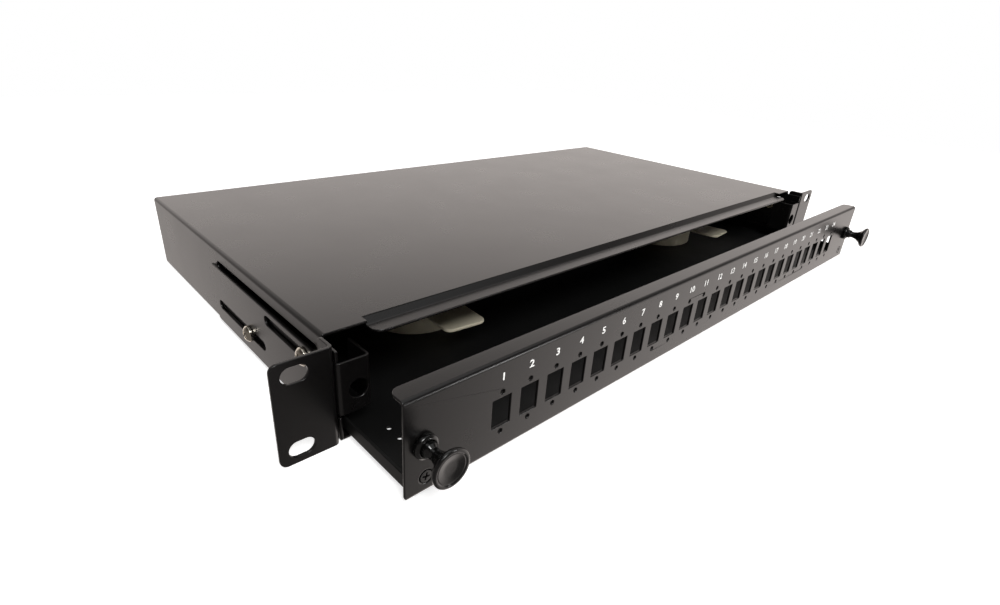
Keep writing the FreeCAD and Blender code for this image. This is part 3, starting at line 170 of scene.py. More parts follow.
@dataclass(frozen=True)
class Finish:
    """A surface with a fine grain over a slow drift in colour and gloss.

    Attributes:
        name: The material's name.
        base: Colour of most of the surface, sRGB hex.
        drift: Colour that it drifts to, sRGB hex.
        gloss: Lowest and highest roughness.
        grain: Size of the grain in millimetres.
        depth: Depth of the grain in millimetres.
        wave: Size of the slow drift in millimetres.
        ior: Index of refraction; None keeps the default, as on a metal.
        metallic: One on a metal, else zero.
        stretch: How much longer the grain is along X, Y and Z.
    """

    name: str
    base: str
    drift: str
    gloss: tuple[float, float]
    grain: float
    depth: float
    wave: float
    ior: float | None = None
    metallic: float = 0.0
    stretch: tuple[float, float, float] = (1.0, 1.0, 1.0)

    def material(self) -> bpy.types.Material:
        """Build the material.

        Returns:
            A material whose patterns read Object coordinates.
        """
        made = bpy.data.materials.new(self.name)
        made.use_nodes = True
        tree = made.node_tree
        tree.nodes.clear()
        place = add_node(tree, "ShaderNodeTexCoord").outputs["Object"]
        along = add_node(tree, "ShaderNodeMapping", {
            "Vector": place, "Scale": tuple(1 / s for s in self.stretch)}).outputs["Vector"]
        grain = add_node(tree, "ShaderNodeTexNoise", {
            "Vector": along, "Scale": per_mm(self.grain), "Detail": 2.0, "Roughness": 0.6})
        wave = add_node(tree, "ShaderNodeTexNoise", {
            "Vector": place, "Scale": per_mm(self.wave), "Detail": 4.0, "Roughness": 0.55})
        # A Mix node has one set of sockets for each data type, so the colour ones are set by number.
        colour = add_node(tree, "ShaderNodeMix", {
            0: wave.outputs["Fac"], 6: linear(self.base), 7: linear(self.drift)}, data_type="RGBA")
        gloss = add_node(tree, "ShaderNodeMapRange", {
            "Value": wave.outputs["Fac"], "From Min": NOISE_BULK[0], "From Max": NOISE_BULK[1],
            "To Min": self.gloss[0], "To Max": self.gloss[1]})
        bump = add_node(tree, "ShaderNodeBump", {
            "Height": grain.outputs["Fac"], "Strength": 1.0, "Distance": self.depth * MM})
        shader = add_node(tree, "ShaderNodeBsdfPrincipled", {
            "Base Color": colour.outputs[2], "Roughness": gloss.outputs["Result"],
            "Metallic": self.metallic, "Normal": bump.outputs["Normal"]})
        if self.ior is not None:
            shader.inputs["IOR"].default_value = self.ior
        add_node(tree, "ShaderNodeOutputMaterial", {"Surface": shader.outputs["BSDF"]})
        return made


FINISHES = {
    # Polyester powder coat, sprayed and baked on steel: satin black with a fine orange peel. The real grit is
    # about 0.3 mm across and is drawn at 0.8 mm, so that it shows.
    Slot.POWDER_COAT: Finish("polyester_powder_coat", base="#0A0909", drift="#0E0D0D", gloss=(0.27, 0.29),
                             grain=0.8, depth=0.012, wave=30.0, ior=1.5),
    # Bright nickel plate on cold-headed steel: warm silver, mirror-like with faint drawing marks.
    Slot.NICKEL: Finish("bright_nickel_plate", base="#D6D0C4", drift="#BDB5A6", gloss=(0.14, 0.26),
                        grain=0.35, depth=0.006, wave=2.5, metallic=1.0, stretch=(1.0, 4.0, 1.0)),
    # Black zinc plate on steel: dark, satin and slightly metallic.
    Slot.BLACK_ZINC: Finish("black_zinc_plate", base="#0E0E0F", drift="#141415", gloss=(0.28, 0.38),
                            grain=0.3, depth=0.005, wave=1.5, ior=1.6),
    # Nylon 6 moulded in a spark-eroded tool: black and half matt.
    Slot.NYLON: Finish("moulded_nylon", base="#171717", drift="#1E1E1E", gloss=(0.42, 0.52),
                       grain=0.5, depth=0.015, wave=6.0, ior=1.53),
    # Nylon 6 moulded in a polished tool: black and glossy, with faint flow marks.
    Slot.GLOSSY_NYLON: Finish("polished_nylon", base="#090909", drift="#0C0C0C", gloss=(0.10, 0.16),
                              grain=1.8, depth=0.010, wave=5.0, ior=1.53),
    # ABS in ivory, from a fine-grained tool: a soft half matt sheen.
    Slot.IVORY_ABS: Finish("ivory_abs", base="#D9D2BC", drift="#CFC7AF", gloss=(0.38, 0.48),
                           grain=0.6, depth=0.010, wave=12.0, ior=1.54),
    # ABS in black, from a grained tool: matt.
    Slot.BLACK_ABS: Finish("black_abs", base="#1B1B1C", drift="#222223", gloss=(0.48, 0.58),
                           grain=0.7, depth=0.020, wave=9.0, ior=1.54),
    # EPDM rubber, compression moulded: matt black with a grey bloom.
    Slot.RUBBER: Finish("epdm_rubber", base="#161616", drift="#262625", gloss=(0.62, 0.78),
                        grain=0.4, depth=0.020, wave=3.0, ior=1.52),
}

# The same powder in a thin, coarse and nearly matt coat, as inside the drawer. Its base colour is also set
# darker than the outer coat's; that darkening is painted shade for the drawer's place inside the housing.
SHADED_MATT_COAT = Finish("shaded_matt_powder_coat", base="#070707", drift="#0A0A0A", gloss=(0.50, 0.58),
                   grain=0.9, depth=0.016, wave=30.0, ior=1.4)

# Screen-printing ink, cured on the coat: flat white, a little thin in places.
INK = Finish("screen_print_ink", base="#F0F0EE", drift="#DEDEDB", gloss=(0.50, 0.62),
             grain=0.25, depth=0.004, wave=0.9, ior=1.48)


class Palette:
    """The materials, each made once."""

    def __init__(self) -> None:
        """Start with no material made."""
        self._made: dict[str, bpy.types.Material] = {}

    def of(self, finish: Finish) -> bpy.types.Material:
        """Give the material of a finish.

        Args:
            finish: The finish.

        Returns:
            Its material, made at the first call.
        """
        if finish.name not in self._made:
            self._made[finish.name] = finish.material()
        return self._made[finish.name]


# ---------------------------------------------------------------------------------------------------------
# Meshes


def linked(name: str, data: bpy.types.ID) -> bpy.types.Object:
    """Make an object and link it to the scene.

    Args:
        name: The object's name.
        data: Its mesh, curve, light or camera.

    Returns:
        The object.
    """
    made = bpy.data.objects.new(name, data)
    bpy.context.scene.collection.objects.link(made)
    return made


def mesh_from(work: bmesh.types.BMesh, name: str) -> bpy.types.Mesh:
    """Turn a working mesh into a mesh.

    Args:
        work: The working mesh, which is freed.
        name: The mesh's name.

    Returns:
        The mesh.
    """
    mesh = bpy.data.meshes.new(name)
    work.to_mesh(mesh)
    work.free()
    return mesh


def piece_from(mesh: bpy.types.Mesh, name: str, material: bpy.types.Material) -> bpy.types.Object:
    """Make an object at the origin from a finished mesh.

    Args:
        mesh: The mesh, already in its place.
        name: The piece's name.
        material: The piece's only material.

    Returns:
        The linked object.
    """
    mesh.name = name
    mesh.materials.clear()
    mesh.materials.append(material)
    return linked(name, mesh)


def evaluated(source: bpy.types.Object) -> bpy.types.Mesh:
    """Give the plain mesh of an object with its modifiers applied.

    Args:
        source: The object, which is removed.

    Returns:
        The resulting mesh.
    """
    graph = bpy.context.evaluated_depsgraph_get()
    mesh = bpy.data.meshes.new_from_object(source.evaluated_get(graph))
    old = source.data
    bpy.data.objects.remove(source)
    if isinstance(old, bpy.types.Mesh):
        bpy.data.meshes.remove(old)
    return mesh


def edge_rounded(mesh: bpy.types.Mesh, radius: float, segments: int, angle: float = 32.0) -> bpy.types.Mesh:
    """Round every sharp edge of a closed mesh.

    Args:
        mesh: The mesh, which is used up.
        radius: Width of the rounding in metres.
        segments: Faces across each rounding.
        angle: Edges sharper than this many degrees are rounded.

    Returns:
        The rounded mesh, smooth with flat faces kept flat.
    """
    for face in mesh.polygons:
        face.use_smooth = True
    work = linked("edge_work", mesh)
    bevel = work.modifiers.new("rounding", "BEVEL")
    bevel.width = radius
    bevel.segments = segments
    bevel.limit_method = "ANGLE"
    bevel.angle_limit = math.radians(angle)
    bevel.use_clamp_overlap = False
    weigh = work.modifiers.new("flat_faces", "WEIGHTED_NORMAL")
    weigh.weight = 100
    weigh.keep_sharp = False
    return evaluated(work)


def welded_copy(node: str) -> bpy.types.Mesh:
    """Copy a CAD node's mesh with its triangles joined and its flat faces merged.

    Args:
        node: The node's name.

    Returns:
        A new closed mesh.
    """
    work = bmesh.new()
    work.from_mesh(frame["nodes"][node].data)
    bmesh.ops.remove_doubles(work, verts=work.verts, dist=WELD)
    bmesh.ops.dissolve_limit(work, angle_limit=FLAT, verts=work.verts, edges=work.edges)
    mesh = mesh_from(work, node + "_copy")
    for layer in ("custom_normal", "sharp_edge", "sharp_face"):
        if layer in mesh.attributes:
            mesh.attributes.remove(mesh.attributes[layer])
    return mesh


def arc_corners(points: Sequence[tuple[float, float, float]], steps: int = 5) -> list[tuple[float, float]]:
    """Round the corners of an open outline with arcs.

    Args:
        points: Corners as (across, up, radius of the corner).
        steps: Straight runs in each arc.

    Returns:
        The outline's points.
    """
    line: list[tuple[float, float]] = [points[0][:2]]
    for before, here, after in zip(points, points[1:], points[2:]):
        corner = Vector(here[:2])
        back, ahead = Vector(before[:2]) - corner, Vector(after[:2]) - corner
        turn = back.angle(ahead)
        room = CORNER_SHARE * min(back.length, ahead.length)
        reach = min(here[2] / math.tan(turn / 2), room) if here[2] else 0.0
        if reach <= 0:
            line.append(tuple(corner))
            continue
        start, end = corner + back.normalized() * reach, corner + ahead.normalized() * reach
        for step in range(steps + 1):
            share = step / steps
            line.append(tuple(start.lerp(corner, share).lerp(corner.lerp(end, share), share)))
    line.append(points[-1][:2])
    return line


def turned(outline: Sequence[tuple[float, float]], steps: int = 96) -> bpy.types.Mesh:
    """Turn an outline about the Z axis.

    Args:
        outline: Points as (radius, height), from one end of the axis to the other.
        steps: Sides of the turned body.

    Returns:
        A closed mesh with its faces outwards.
    """
    work = bmesh.new()
    rings = []
    for radius, height in outline:
        if radius < AXIS:
            rings.append([work.verts.new((0, 0, height))])
        else:
            rings.append([work.verts.new((radius * math.cos(math.tau * step / steps),
                                          radius * math.sin(math.tau * step / steps), height))
                          for step in range(steps)])
    for first, second in zip(rings, rings[1:]):
        for step in range(steps):
            following = (step + 1) % steps
            corners = [first[step % len(first)], first[following % len(first)],
                       second[following % len(second)], second[step % len(second)]]
            work.faces.new(list(dict.fromkeys(corners)))
    if len(rings[0]) > 1 and len(rings[-1]) > 1:
        for step in range(steps):
            following = (step + 1) % steps
            work.faces.new([rings[-1][step], rings[-1][following], rings[0][following], rings[0][step]])
    bmesh.ops.recalc_face_normals(work, faces=work.faces)
    for face in work.faces:
        face.smooth = True
    return mesh_from(work, "turned")


def merged(parts: Sequence[bpy.types.Mesh], name: str) -> bpy.types.Mesh:
    """Join several meshes into one.

    Args:
        parts: The meshes, which are removed.
        name: The new mesh's name.

    Returns:
        The joined mesh.
    """
    work = bmesh.new()
    for part in parts:
        work.from_mesh(part)
        bpy.data.meshes.remove(part)
    return mesh_from(work, name)


def middle_of(node: str) -> Vector:
    """Find the middle of a CAD node's box.

    Args:
        node: The node's name.

    Returns:
        The middle in metres.
    """
    low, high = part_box(node)
    return (low + high) / 2


def stands_for(piece: bpy.types.Object, *nodes: str) -> None:
    """Let a piece stand for CAD nodes: it rides on their body and the nodes are hidden.

    Args:
        piece: The finished piece.
        *nodes: The nodes it replaces, all on one body and in one slot.
    """
    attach(piece, frame["nodes"][nodes[0]]["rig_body"])
    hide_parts(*nodes)
    log.info("%s stands for %s", piece.name, ", ".join(nodes))


# ---------------------------------------------------------------------------------------------------------
# Geometry Nodes


@dataclass
class NodeModifier:
    """A Geometry Nodes tree with named inputs, and the mesh that it makes.

    Attributes:
        name: The tree's name.
    """

    name: str

    def __post_init__(self) -> None:
        """Start an empty tree with a geometry input and output."""
        self.tree = bpy.data.node_groups.new(self.name, "GeometryNodeTree")
        self.sockets: dict[str, str] = {}
        self.values: dict[str, object] = {}
        self.tree.interface.new_socket("Geometry", in_out="INPUT", socket_type="NodeSocketGeometry")
        self.tree.interface.new_socket("Geometry", in_out="OUTPUT", socket_type="NodeSocketGeometry")
        self.entry = self.tree.nodes.new("NodeGroupInput")

    def add_input(self, name: str, kind: str, value: object) -> bpy.types.NodeSocket:
        """Add a named input and give its value.

        Args:
            name: The input's name.
            kind: The socket's type after "NodeSocket".
            value: Its value.

        Returns:
            The socket inside the tree.
        """
        item = self.tree.interface.new_socket(name, in_out="INPUT", socket_type="NodeSocket" + kind)
        self.sockets[name] = item.identifier
        self.values[name] = value
        return self.entry.outputs[name]

    def add(self, kind: str, inputs: dict | None = None, **settings) -> bpy.types.Node:
        """Add a node to the tree.

        Args:
            kind: The node's type.
            inputs: By socket name or number, a value or an output socket.
            **settings: The node's own properties.

        Returns:
            The new node.
        """
        return add_node(self.tree, kind, inputs, **settings)

    def finish(self, geometry: bpy.types.NodeSocket, material: bpy.types.Material) -> None:
        """End the tree in Realize Instances and Set Material.

        Args:
            geometry: What the tree has made.
            material: What it is made of.
        """
        finish = self.add_input("Finish", "Material", material)
        real = self.add("GeometryNodeRealizeInstances", {"Geometry": geometry})
        painted = self.add("GeometryNodeSetMaterial", {
            "Geometry": real.outputs["Geometry"], "Material": finish})
        self.add("NodeGroupOutput", {"Geometry": painted.outputs["Geometry"]})

    def bake(self, start: bpy.types.Mesh) -> bpy.types.Mesh:
        """Run the tree on a mesh.

        Args:
            start: The tree's input geometry, which is used up.

        Returns:
            The plain mesh.
        """
        holder = linked(self.name + "_work", start)
        modifier = holder.modifiers.new(self.name, "NODES")
        modifier.node_group = self.tree
        for name, value in self.values.items():
            modifier[self.sockets[name]] = value
        return evaluated(holder)


def spots_mesh(spots: Sequence[tuple[Vector, Vector]]) -> bpy.types.Mesh:
    """Make a mesh of loose points that know which way they face.

    Args:
        spots: For each point, its place and the direction it faces.

    Returns:
        The mesh, with a vector attribute named facing.
    """
    mesh = bpy.data.meshes.new("spots")
    mesh.from_pydata([place for place, _ in spots], [], [])
    facing = mesh.attributes.new("facing", "FLOAT_VECTOR", "POINT")
    for entry, (_, direction) in zip(facing.data, spots):
        entry.vector = direction
    return mesh


def set_on_spots(name: str, fastener: bpy.types.Mesh, spots: Sequence[tuple[Vector, Vector]],
                 material: bpy.types.Material, seed: int) -> bpy.types.Mesh:
    """Set one fastener on every spot, each turned about its own axis as a screwdriver left it.

    Args:
        name: The tree's name.
        fastener: The fastener with its axis along Z, which is used up.
        spots: Places and the directions that the fasteners face.
        material: Their material.
        seed: Seed of the turns.

    Returns:
        The mesh of all of them.
    """
    master = linked(name + "_master", fastener)
    nodes = NodeModifier(name)
    source = nodes.add_input("Fastener", "Object", master)
    turns = nodes.add_input("Turn Seed", "Int", seed)
    shape = nodes.add("GeometryNodeObjectInfo", {"Object": source}, transform_space="ORIGINAL")
    facing = nodes.add("GeometryNodeInputNamedAttribute", {"Name": "facing"}, data_type="FLOAT_VECTOR")
    aim = nodes.add("FunctionNodeAlignRotationToVector", {"Vector": facing.outputs["Attribute"]}, axis="Z")
    random = nodes.add("FunctionNodeRandomValue", {"Seed": turns}, data_type="FLOAT")
    random.inputs[3].default_value = math.tau
    spin = nodes.add("ShaderNodeCombineXYZ", {"Z": random.outputs[1]})
    about = nodes.add("FunctionNodeEulerToRotation", {"Euler": spin.outputs["Vector"]})
    both = nodes.add("FunctionNodeRotateRotation", {
        "Rotation": aim.outputs["Rotation"], "Rotate By": about.outputs["Rotation"]}, rotation_space="LOCAL")
    placed = nodes.add("GeometryNodeInstanceOnPoints", {
        "Points": nodes.entry.outputs["Geometry"], "Instance": shape.outputs["Geometry"],
        "Rotation": both.outputs["Rotation"]})
    nodes.finish(placed.outputs["Instances"], material)
    mesh = nodes.bake(spots_mesh(spots))
    bpy.data.objects.remove(master)
    return mesh


# ---------------------------------------------------------------------------------------------------------
# The box


@dataclass
class SheetParts:
    """The bent and coated sheet parts.

    Attributes:
        nodes: Their CAD nodes.
        edge: Radius that the coat gives a cut edge, in millimetres.
    """

    nodes: tuple[str, ...] = ("housing_cover", "housing_base", "guide_left", "guide_right",
                              "rack_bracket_left", "rack_bracket_right", "adapter_panel", "drawer_tray")
    edge: float = 0.3

    def build(self, palette: Palette) -> None:
        """Make each sheet part with coated, rounded edges."""
        for node in self.nodes:
            mesh = edge_rounded(welded_copy(node), self.edge * MM, segments=2)
            # The drawer tray gets the matt coat, whose darker base colour is painted shade for the inside of
            # the housing.
            finish = SHADED_MATT_COAT if node == "drawer_tray" else FINISHES[SLOT_OF[node]]
            stands_for(piece_from(mesh, node + "_coated", palette.of(finish)), node)


@dataclass
class Mouldings:
    """Plastic and rubber pieces that keep their CAD shape, with moulded edge radii.

    Attributes:
        edges: For each node, the radius of its edges in millimetres.
    """

    edges: tuple[tuple[str, float], ...] = (
        ("fibre_spool_left", 0.45), ("fibre_spool_right", 0.45), ("splice_cassette", 0.35),
        ("cassette_lid", 0.4), ("blanking_plug_left", 0.4), ("blanking_plug_right", 0.4),
        ("gland_left", 0.4), ("gland_right", 0.4), ("gland_nut_left", 0.35), ("gland_nut_right", 0.35),
        ("gland_cap_left", 0.3), ("gland_cap_right", 0.3), ("ground_screw", 0.2))

    def build(self, palette: Palette) -> None:
        """Make each moulding."""
        for node, radius in self.edges:
            mesh = edge_rounded(welded_copy(node), radius * MM, segments=3)
            stands_for(piece_from(mesh, node + "_moulded", palette.of(FINISHES[SLOT_OF[node]])), node)


@dataclass
class PortNumbers:
    """The numbers 1 to 24, printed above the windows.

    Attributes:
        height: Height of a figure in millimetres.
        level: Height of the figures' middle above the ear centre, in millimetres.
        pitch: Distance between windows in millimetres.
        wide: How much wider the figures are than the font's.
        film: Thickness of the ink in millimetres.
        bold: How far the strokes are widened, in millimetres.
    """

    height: float = 3.3
    level: float = 13.4
    pitch: float = 15.0
    wide: float = 1.15
    film: float = 0.03
    bold: float = 0.1

    def figure(self, number: int) -> bpy.types.Mesh:
        """Make one number as a thin mesh that faces the front.

        Args:
            number: The number to print.

        Returns:
            The mesh in its place on the panel.
        """
        text = bpy.data.curves.new("port_number", "FONT")
        text.body = str(number)
        text.align_x = "CENTER"
        text.align_y = "CENTER"
        text.size = self.height * MM / 0.72
        text.offset = self.bold * MM
        text.extrude = self.film * MM / 2
        text.resolution_u = 4
        mesh = evaluated(linked("port_number", text))
        bpy.data.curves.remove(text)
        across = (number - (PORTS + 1) / 2) * self.pitch * MM
        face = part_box("adapter_panel")[0].y
        mesh.transform(Matrix.Translation((across, face - self.film * MM / 2, self.level * MM))
                       @ Matrix.Rotation(math.radians(90), 4, "X") @ Matrix.Scale(self.wide, 4, (1, 0, 0)))
        return mesh

    def build(self, palette: Palette) -> None:
        """Print all the numbers as one piece."""
        mesh = merged([self.figure(number) for number in range(1, PORTS + 1)], "port_numbers")
        piece = piece_from(mesh, "port_numbers", palette.of(INK))
        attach(piece, "drawer")
        log.info("%s rides on the drawer", piece.name)


@dataclass
class PushLatch:
    """One push latch: a collar on the panel and a pin with a dished knob.

    Attributes:
        side: "left" or "right".
        pin: Pin radius in millimetres.
        tip: Length of the pin behind the panel's face.
        shoulder: Where the full diameter ends, in front of the panel's face.
        waist: Radius of the waist.
        knob: Radius of the knob.
        rim: Thickness of the knob's rim.
        dish: Depth of the dished face.
        collar: Radius of the collar.
        collar_height: Height of the collar.
        sleeve: Outside radius of the sleeve.
        bore: Bore radius of the sleeve.
        sleeve_length: Length of the sleeve behind the panel's back.
    """

    side: str
    pin: float = 3.14
    tip: float = 6.5
    shoulder: float = 4.9
    waist: float = 2.3
    knob: float = 7.5
    rim: float = 2.0
    dish: float = 1.0
    collar: float = 4.9
    collar_height: float = 2.6
    sleeve: float = 3.8
    bore: float = 3.2
    sleeve_length: float = 9.2

    def pin_outline(self, front: float) -> list[tuple[float, float]]:
        """Give the outline of the pin and its knob.

        Args:
            front: Height of the knob's front over the panel's face, in millimetres.

        Returns:
            Points as (radius, height) in millimetres.
        """
        back = front - self.rim
        return arc_corners([
            (0, -self.tip, 0), (self.pin - 1, -self.tip, 0.3), (self.pin, 1 - self.tip, 0.4),
            (self.pin, self.shoulder - 0.7, 0.3), (self.waist, self.shoulder + 0.5, 0.8),
            (self.waist, self.shoulder + 1.9, 1.2), (self.waist + 0.7, back - 4.2, 3),
            (self.waist + 2.4, back - 1.8, 2.5), (self.knob - 0.5, back, 0.6),
            (self.knob, back + 0.8, 0.6), (self.knob, front - 0.2, 0.5), (self.knob - 0.7, front, 0.5),
            (self.knob - 1.2, front, 0.3), (self.knob - 1.6, front - 0.35, 0.15),
            (self.knob - 2.0, front - 0.3, 0.3), (self.knob - 4.5, front - self.dish * 0.9, 8),
            (0, front - self.dish, 0)])

    def collar_outline(self) -> list[tuple[float, float]]:
        """Give the closed outline of the collar and its sleeve in millimetres."""
        foot = -self.sleeve_length
        return arc_corners([
            (self.bore, foot, 0), (self.sleeve - 0.5, foot, 0.15), (self.sleeve, foot + 1.2, 0.3),
            (self.sleeve, 0, 0), (self.collar, 0, 0), (self.collar, self.collar_height - 0.7, 0.9),
            (self.collar - 1.0, self.collar_height, 0.7), (self.bore + 0.35, self.collar_height, 0.25),
            (self.bore, self.collar_height - 0.35, 0.2), (self.bore, foot + 0.5, 0)])

    def build(self, palette: Palette) -> None:
        """Turn both pieces and set them in their places."""
        for kind in ("collar", "pin"):
            node = f"latch_{kind}_{self.side}"
            low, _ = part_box(node)
            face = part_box("adapter_panel")[0].y
            front = (face - low.y) / MM
            outline = self.pin_outline(front) if kind == "pin" else self.collar_outline()
            mesh = turned(outline)
            middle = middle_of(node)
            mesh.transform(Matrix.Translation((middle.x, face, middle.z))
                           @ Matrix.Rotation(math.radians(90), 4, "X") @ Matrix.Scale(MM, 4))
            stands_for(piece_from(mesh, node + "_turned", palette.of(FINISHES[Slot.GLOSSY_NYLON])), node)


@dataclass
class CrossScrew:
    """A screw with a cross recess, its seat at zero and its head along +Z.

    Attributes:
        head: Radius of the head in millimetres.
        height: Height of the head.
        shank: Radius of the shank.
        length: Length below the seat.
        recess: Width across the recess.
        depth: Depth of the recess.
        countersunk: Whether the head is sunk and flat instead of standing and domed.
        arm_share: Half the thickness of the cross's arms, as a share of its width.
        overshoot: How far the cutter stands over the head.
        mouth: Width of the cross at the cutter's top, as a share of the recess.
        point: Width of the cross at its bottom, as a share of the recess.
    """

    head: float
    height: float
    shank: float
    length: float
    recess: float
    depth: float
    countersunk: bool = False
    arm_share: float = 0.11
    overshoot: float = 0.5
    mouth: float = 1.12
    point: float = 0.55

    def body(self) -> bpy.types.Mesh:
        """Turn the screw without its recess."""
        if self.countersunk:
            points = [(0, -self.length, 0), (self.shank - 0.6, -self.length, 0.1),
                      (self.shank, 0.6 - self.length, 0.2), (self.shank, -self.height, 0.2),
                      (self.head, -0.15, 0.1), (self.head, 0, 0.08), (0, 0, 0)]
        else:
            points = [(0, -self.length, 0), (self.shank - 0.5, -self.length, 0.1),
                      (self.shank, 0.6 - self.length, 0.2), (self.shank, 0, 0), (self.head, 0, 0.1),
                      (self.head, self.height * 0.42, 0.5), (self.head * 0.72, self.height * 0.9, 2.0),
                      (self.head * 0.4, self.height, 1.0), (0, self.height, 0)]
        return turned(arc_corners(points), steps=64)

    def cutter(self) -> bpy.types.Mesh:
        """Make the tapered cross that cuts the recess."""
        top = 0.0 if self.countersunk else self.height
        wide, slim = self.recess / 2, self.recess * self.arm_share
        work = bmesh.new()
        outlines = []
        for level, share in ((top + self.overshoot, self.mouth), (top - self.depth, self.point)):
            arm, half = wide * share, slim * (0.6 + 0.4 * share)
            corners = [(arm, -half), (arm, half), (half, half)]
            ring = [(x * math.cos(a) - y * math.sin(a), x * math.sin(a) + y * math.cos(a))
                    for a in (math.radians(90 * quarter) for quarter in range(4)) for x, y in corners]
            outlines.append([work.verts.new((x, y, level)) for x, y in ring])
        count = len(outlines[0])
        for step in range(count):
            following = (step + 1) % count
            work.faces.new([outlines[0][step], outlines[0][following], outlines[1][following],
                            outlines[1][step]])
        work.faces.new(outlines[0])
        work.faces.new(outlines[1])
        bmesh.ops.recalc_face_normals(work, faces=work.faces)
        return mesh_from(work, "recess")

    def mesh(self) -> bpy.types.Mesh:
        """Cut the recess and give the screw in metres.

        Returns:
            The screw's mesh.
        """
        body = linked("screw_body", self.body())
        tool = linked("screw_tool", self.cutter())
        cut = body.modifiers.new("recess", "BOOLEAN")
        cut.operation = "DIFFERENCE"
        cut.solver = "EXACT"
        cut.object = tool
        made = evaluated(body)
        bpy.data.objects.remove(tool)
        made.transform(Matrix.Scale(MM, 4))
        made.set_sharp_from_angle(angle=SCREW_CREASE)
        return made


@dataclass
class Screws:
    """All the cross-recessed screws, set by Geometry Nodes.

    Attributes:
        seed: Seed of the turns that the screwdriver left.
    """

    seed: int = 4

    def centres(self, node: str) -> list[Vector]:
        """Find the middle of each separate solid in a node.

        Args:
            node: The node's name.

        Returns:
            The middles of their boxes.
        """
        work = bmesh.new()
        work.from_mesh(frame["nodes"][node].data)
        bmesh.ops.remove_doubles(work, verts=work.verts, dist=WELD)
        seen: set[bmesh.types.BMVert] = set()
        found = []
        for start in work.verts:
            if start in seen:
                continue
            seen.add(start)
            group, queue = [start], [start]
            while queue:
                for edge in queue.pop().link_edges:
                    for vert in edge.verts:
                        if vert not in seen:
                            seen.add(vert)
                            group.append(vert)
                            queue.append(vert)
            places = [vert.co for vert in group]
            low = Vector(tuple(min(place[axis] for place in places) for axis in range(3)))
            high = Vector(tuple(max(place[axis] for place in places) for axis in range(3)))
            found.append((low + high) / 2)
        work.free()
        return found

    def place(self, node: str, screw: CrossScrew, spots: Sequence[tuple[Vector, Vector]],
              palette: Palette) -> None:
        """Set one kind of screw on its spots.

        Args:
            node: The CAD node that the screws stand for.
            screw: The screw.
            spots: Their seats and directions.
            palette: The materials.
        """
        material = palette.of(FINISHES[SLOT_OF[node]])
        mesh = set_on_spots(node + "_set", screw.mesh(), spots, material, self.seed)
        stands_for(piece_from(mesh, node + "_recessed", material), node)

    def build(self, palette: Palette) -> None:
        """Make the bracket, panel and spool screws."""
        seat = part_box("bracket_screws")[1].x - BRACKET_SCREW.height * MM
        spots = [(Vector((math.copysign(seat, centre.x), centre.y, centre.z)),
                  Vector((math.copysign(1, centre.x), 0, 0))) for centre in self.centres("bracket_screws")]
        self.place("bracket_screws", BRACKET_SCREW, spots, palette)
        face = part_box("panel_screws")[0].y
        spots = [(Vector((centre.x, face, centre.z)), OUT) for centre in self.centres("panel_screws")]
        self.place("panel_screws", PANEL_SCREW, spots, palette)
        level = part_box("spool_screws")[1].z - SPOOL_SCREW.height * MM
        spots = [(Vector((centre.x, centre.y, level)), Vector((0, 0, 1)))
                 for centre in self.centres("spool_screws")]
        self.place("spool_screws", SPOOL_SCREW, spots, palette)


BRACKET_SCREW = CrossScrew(head=4.0, height=2.66, shank=2.0, length=6.9, recess=4.4, depth=1.6)
PANEL_SCREW = CrossScrew(head=2.45, height=0.95, shank=2.0, length=7.9, recess=3.5, depth=1.0,
                         countersunk=True)
SPOOL_SCREW = CrossScrew(head=2.8, height=2.1, shank=1.5, length=2.8, recess=3.0, depth=1.1)


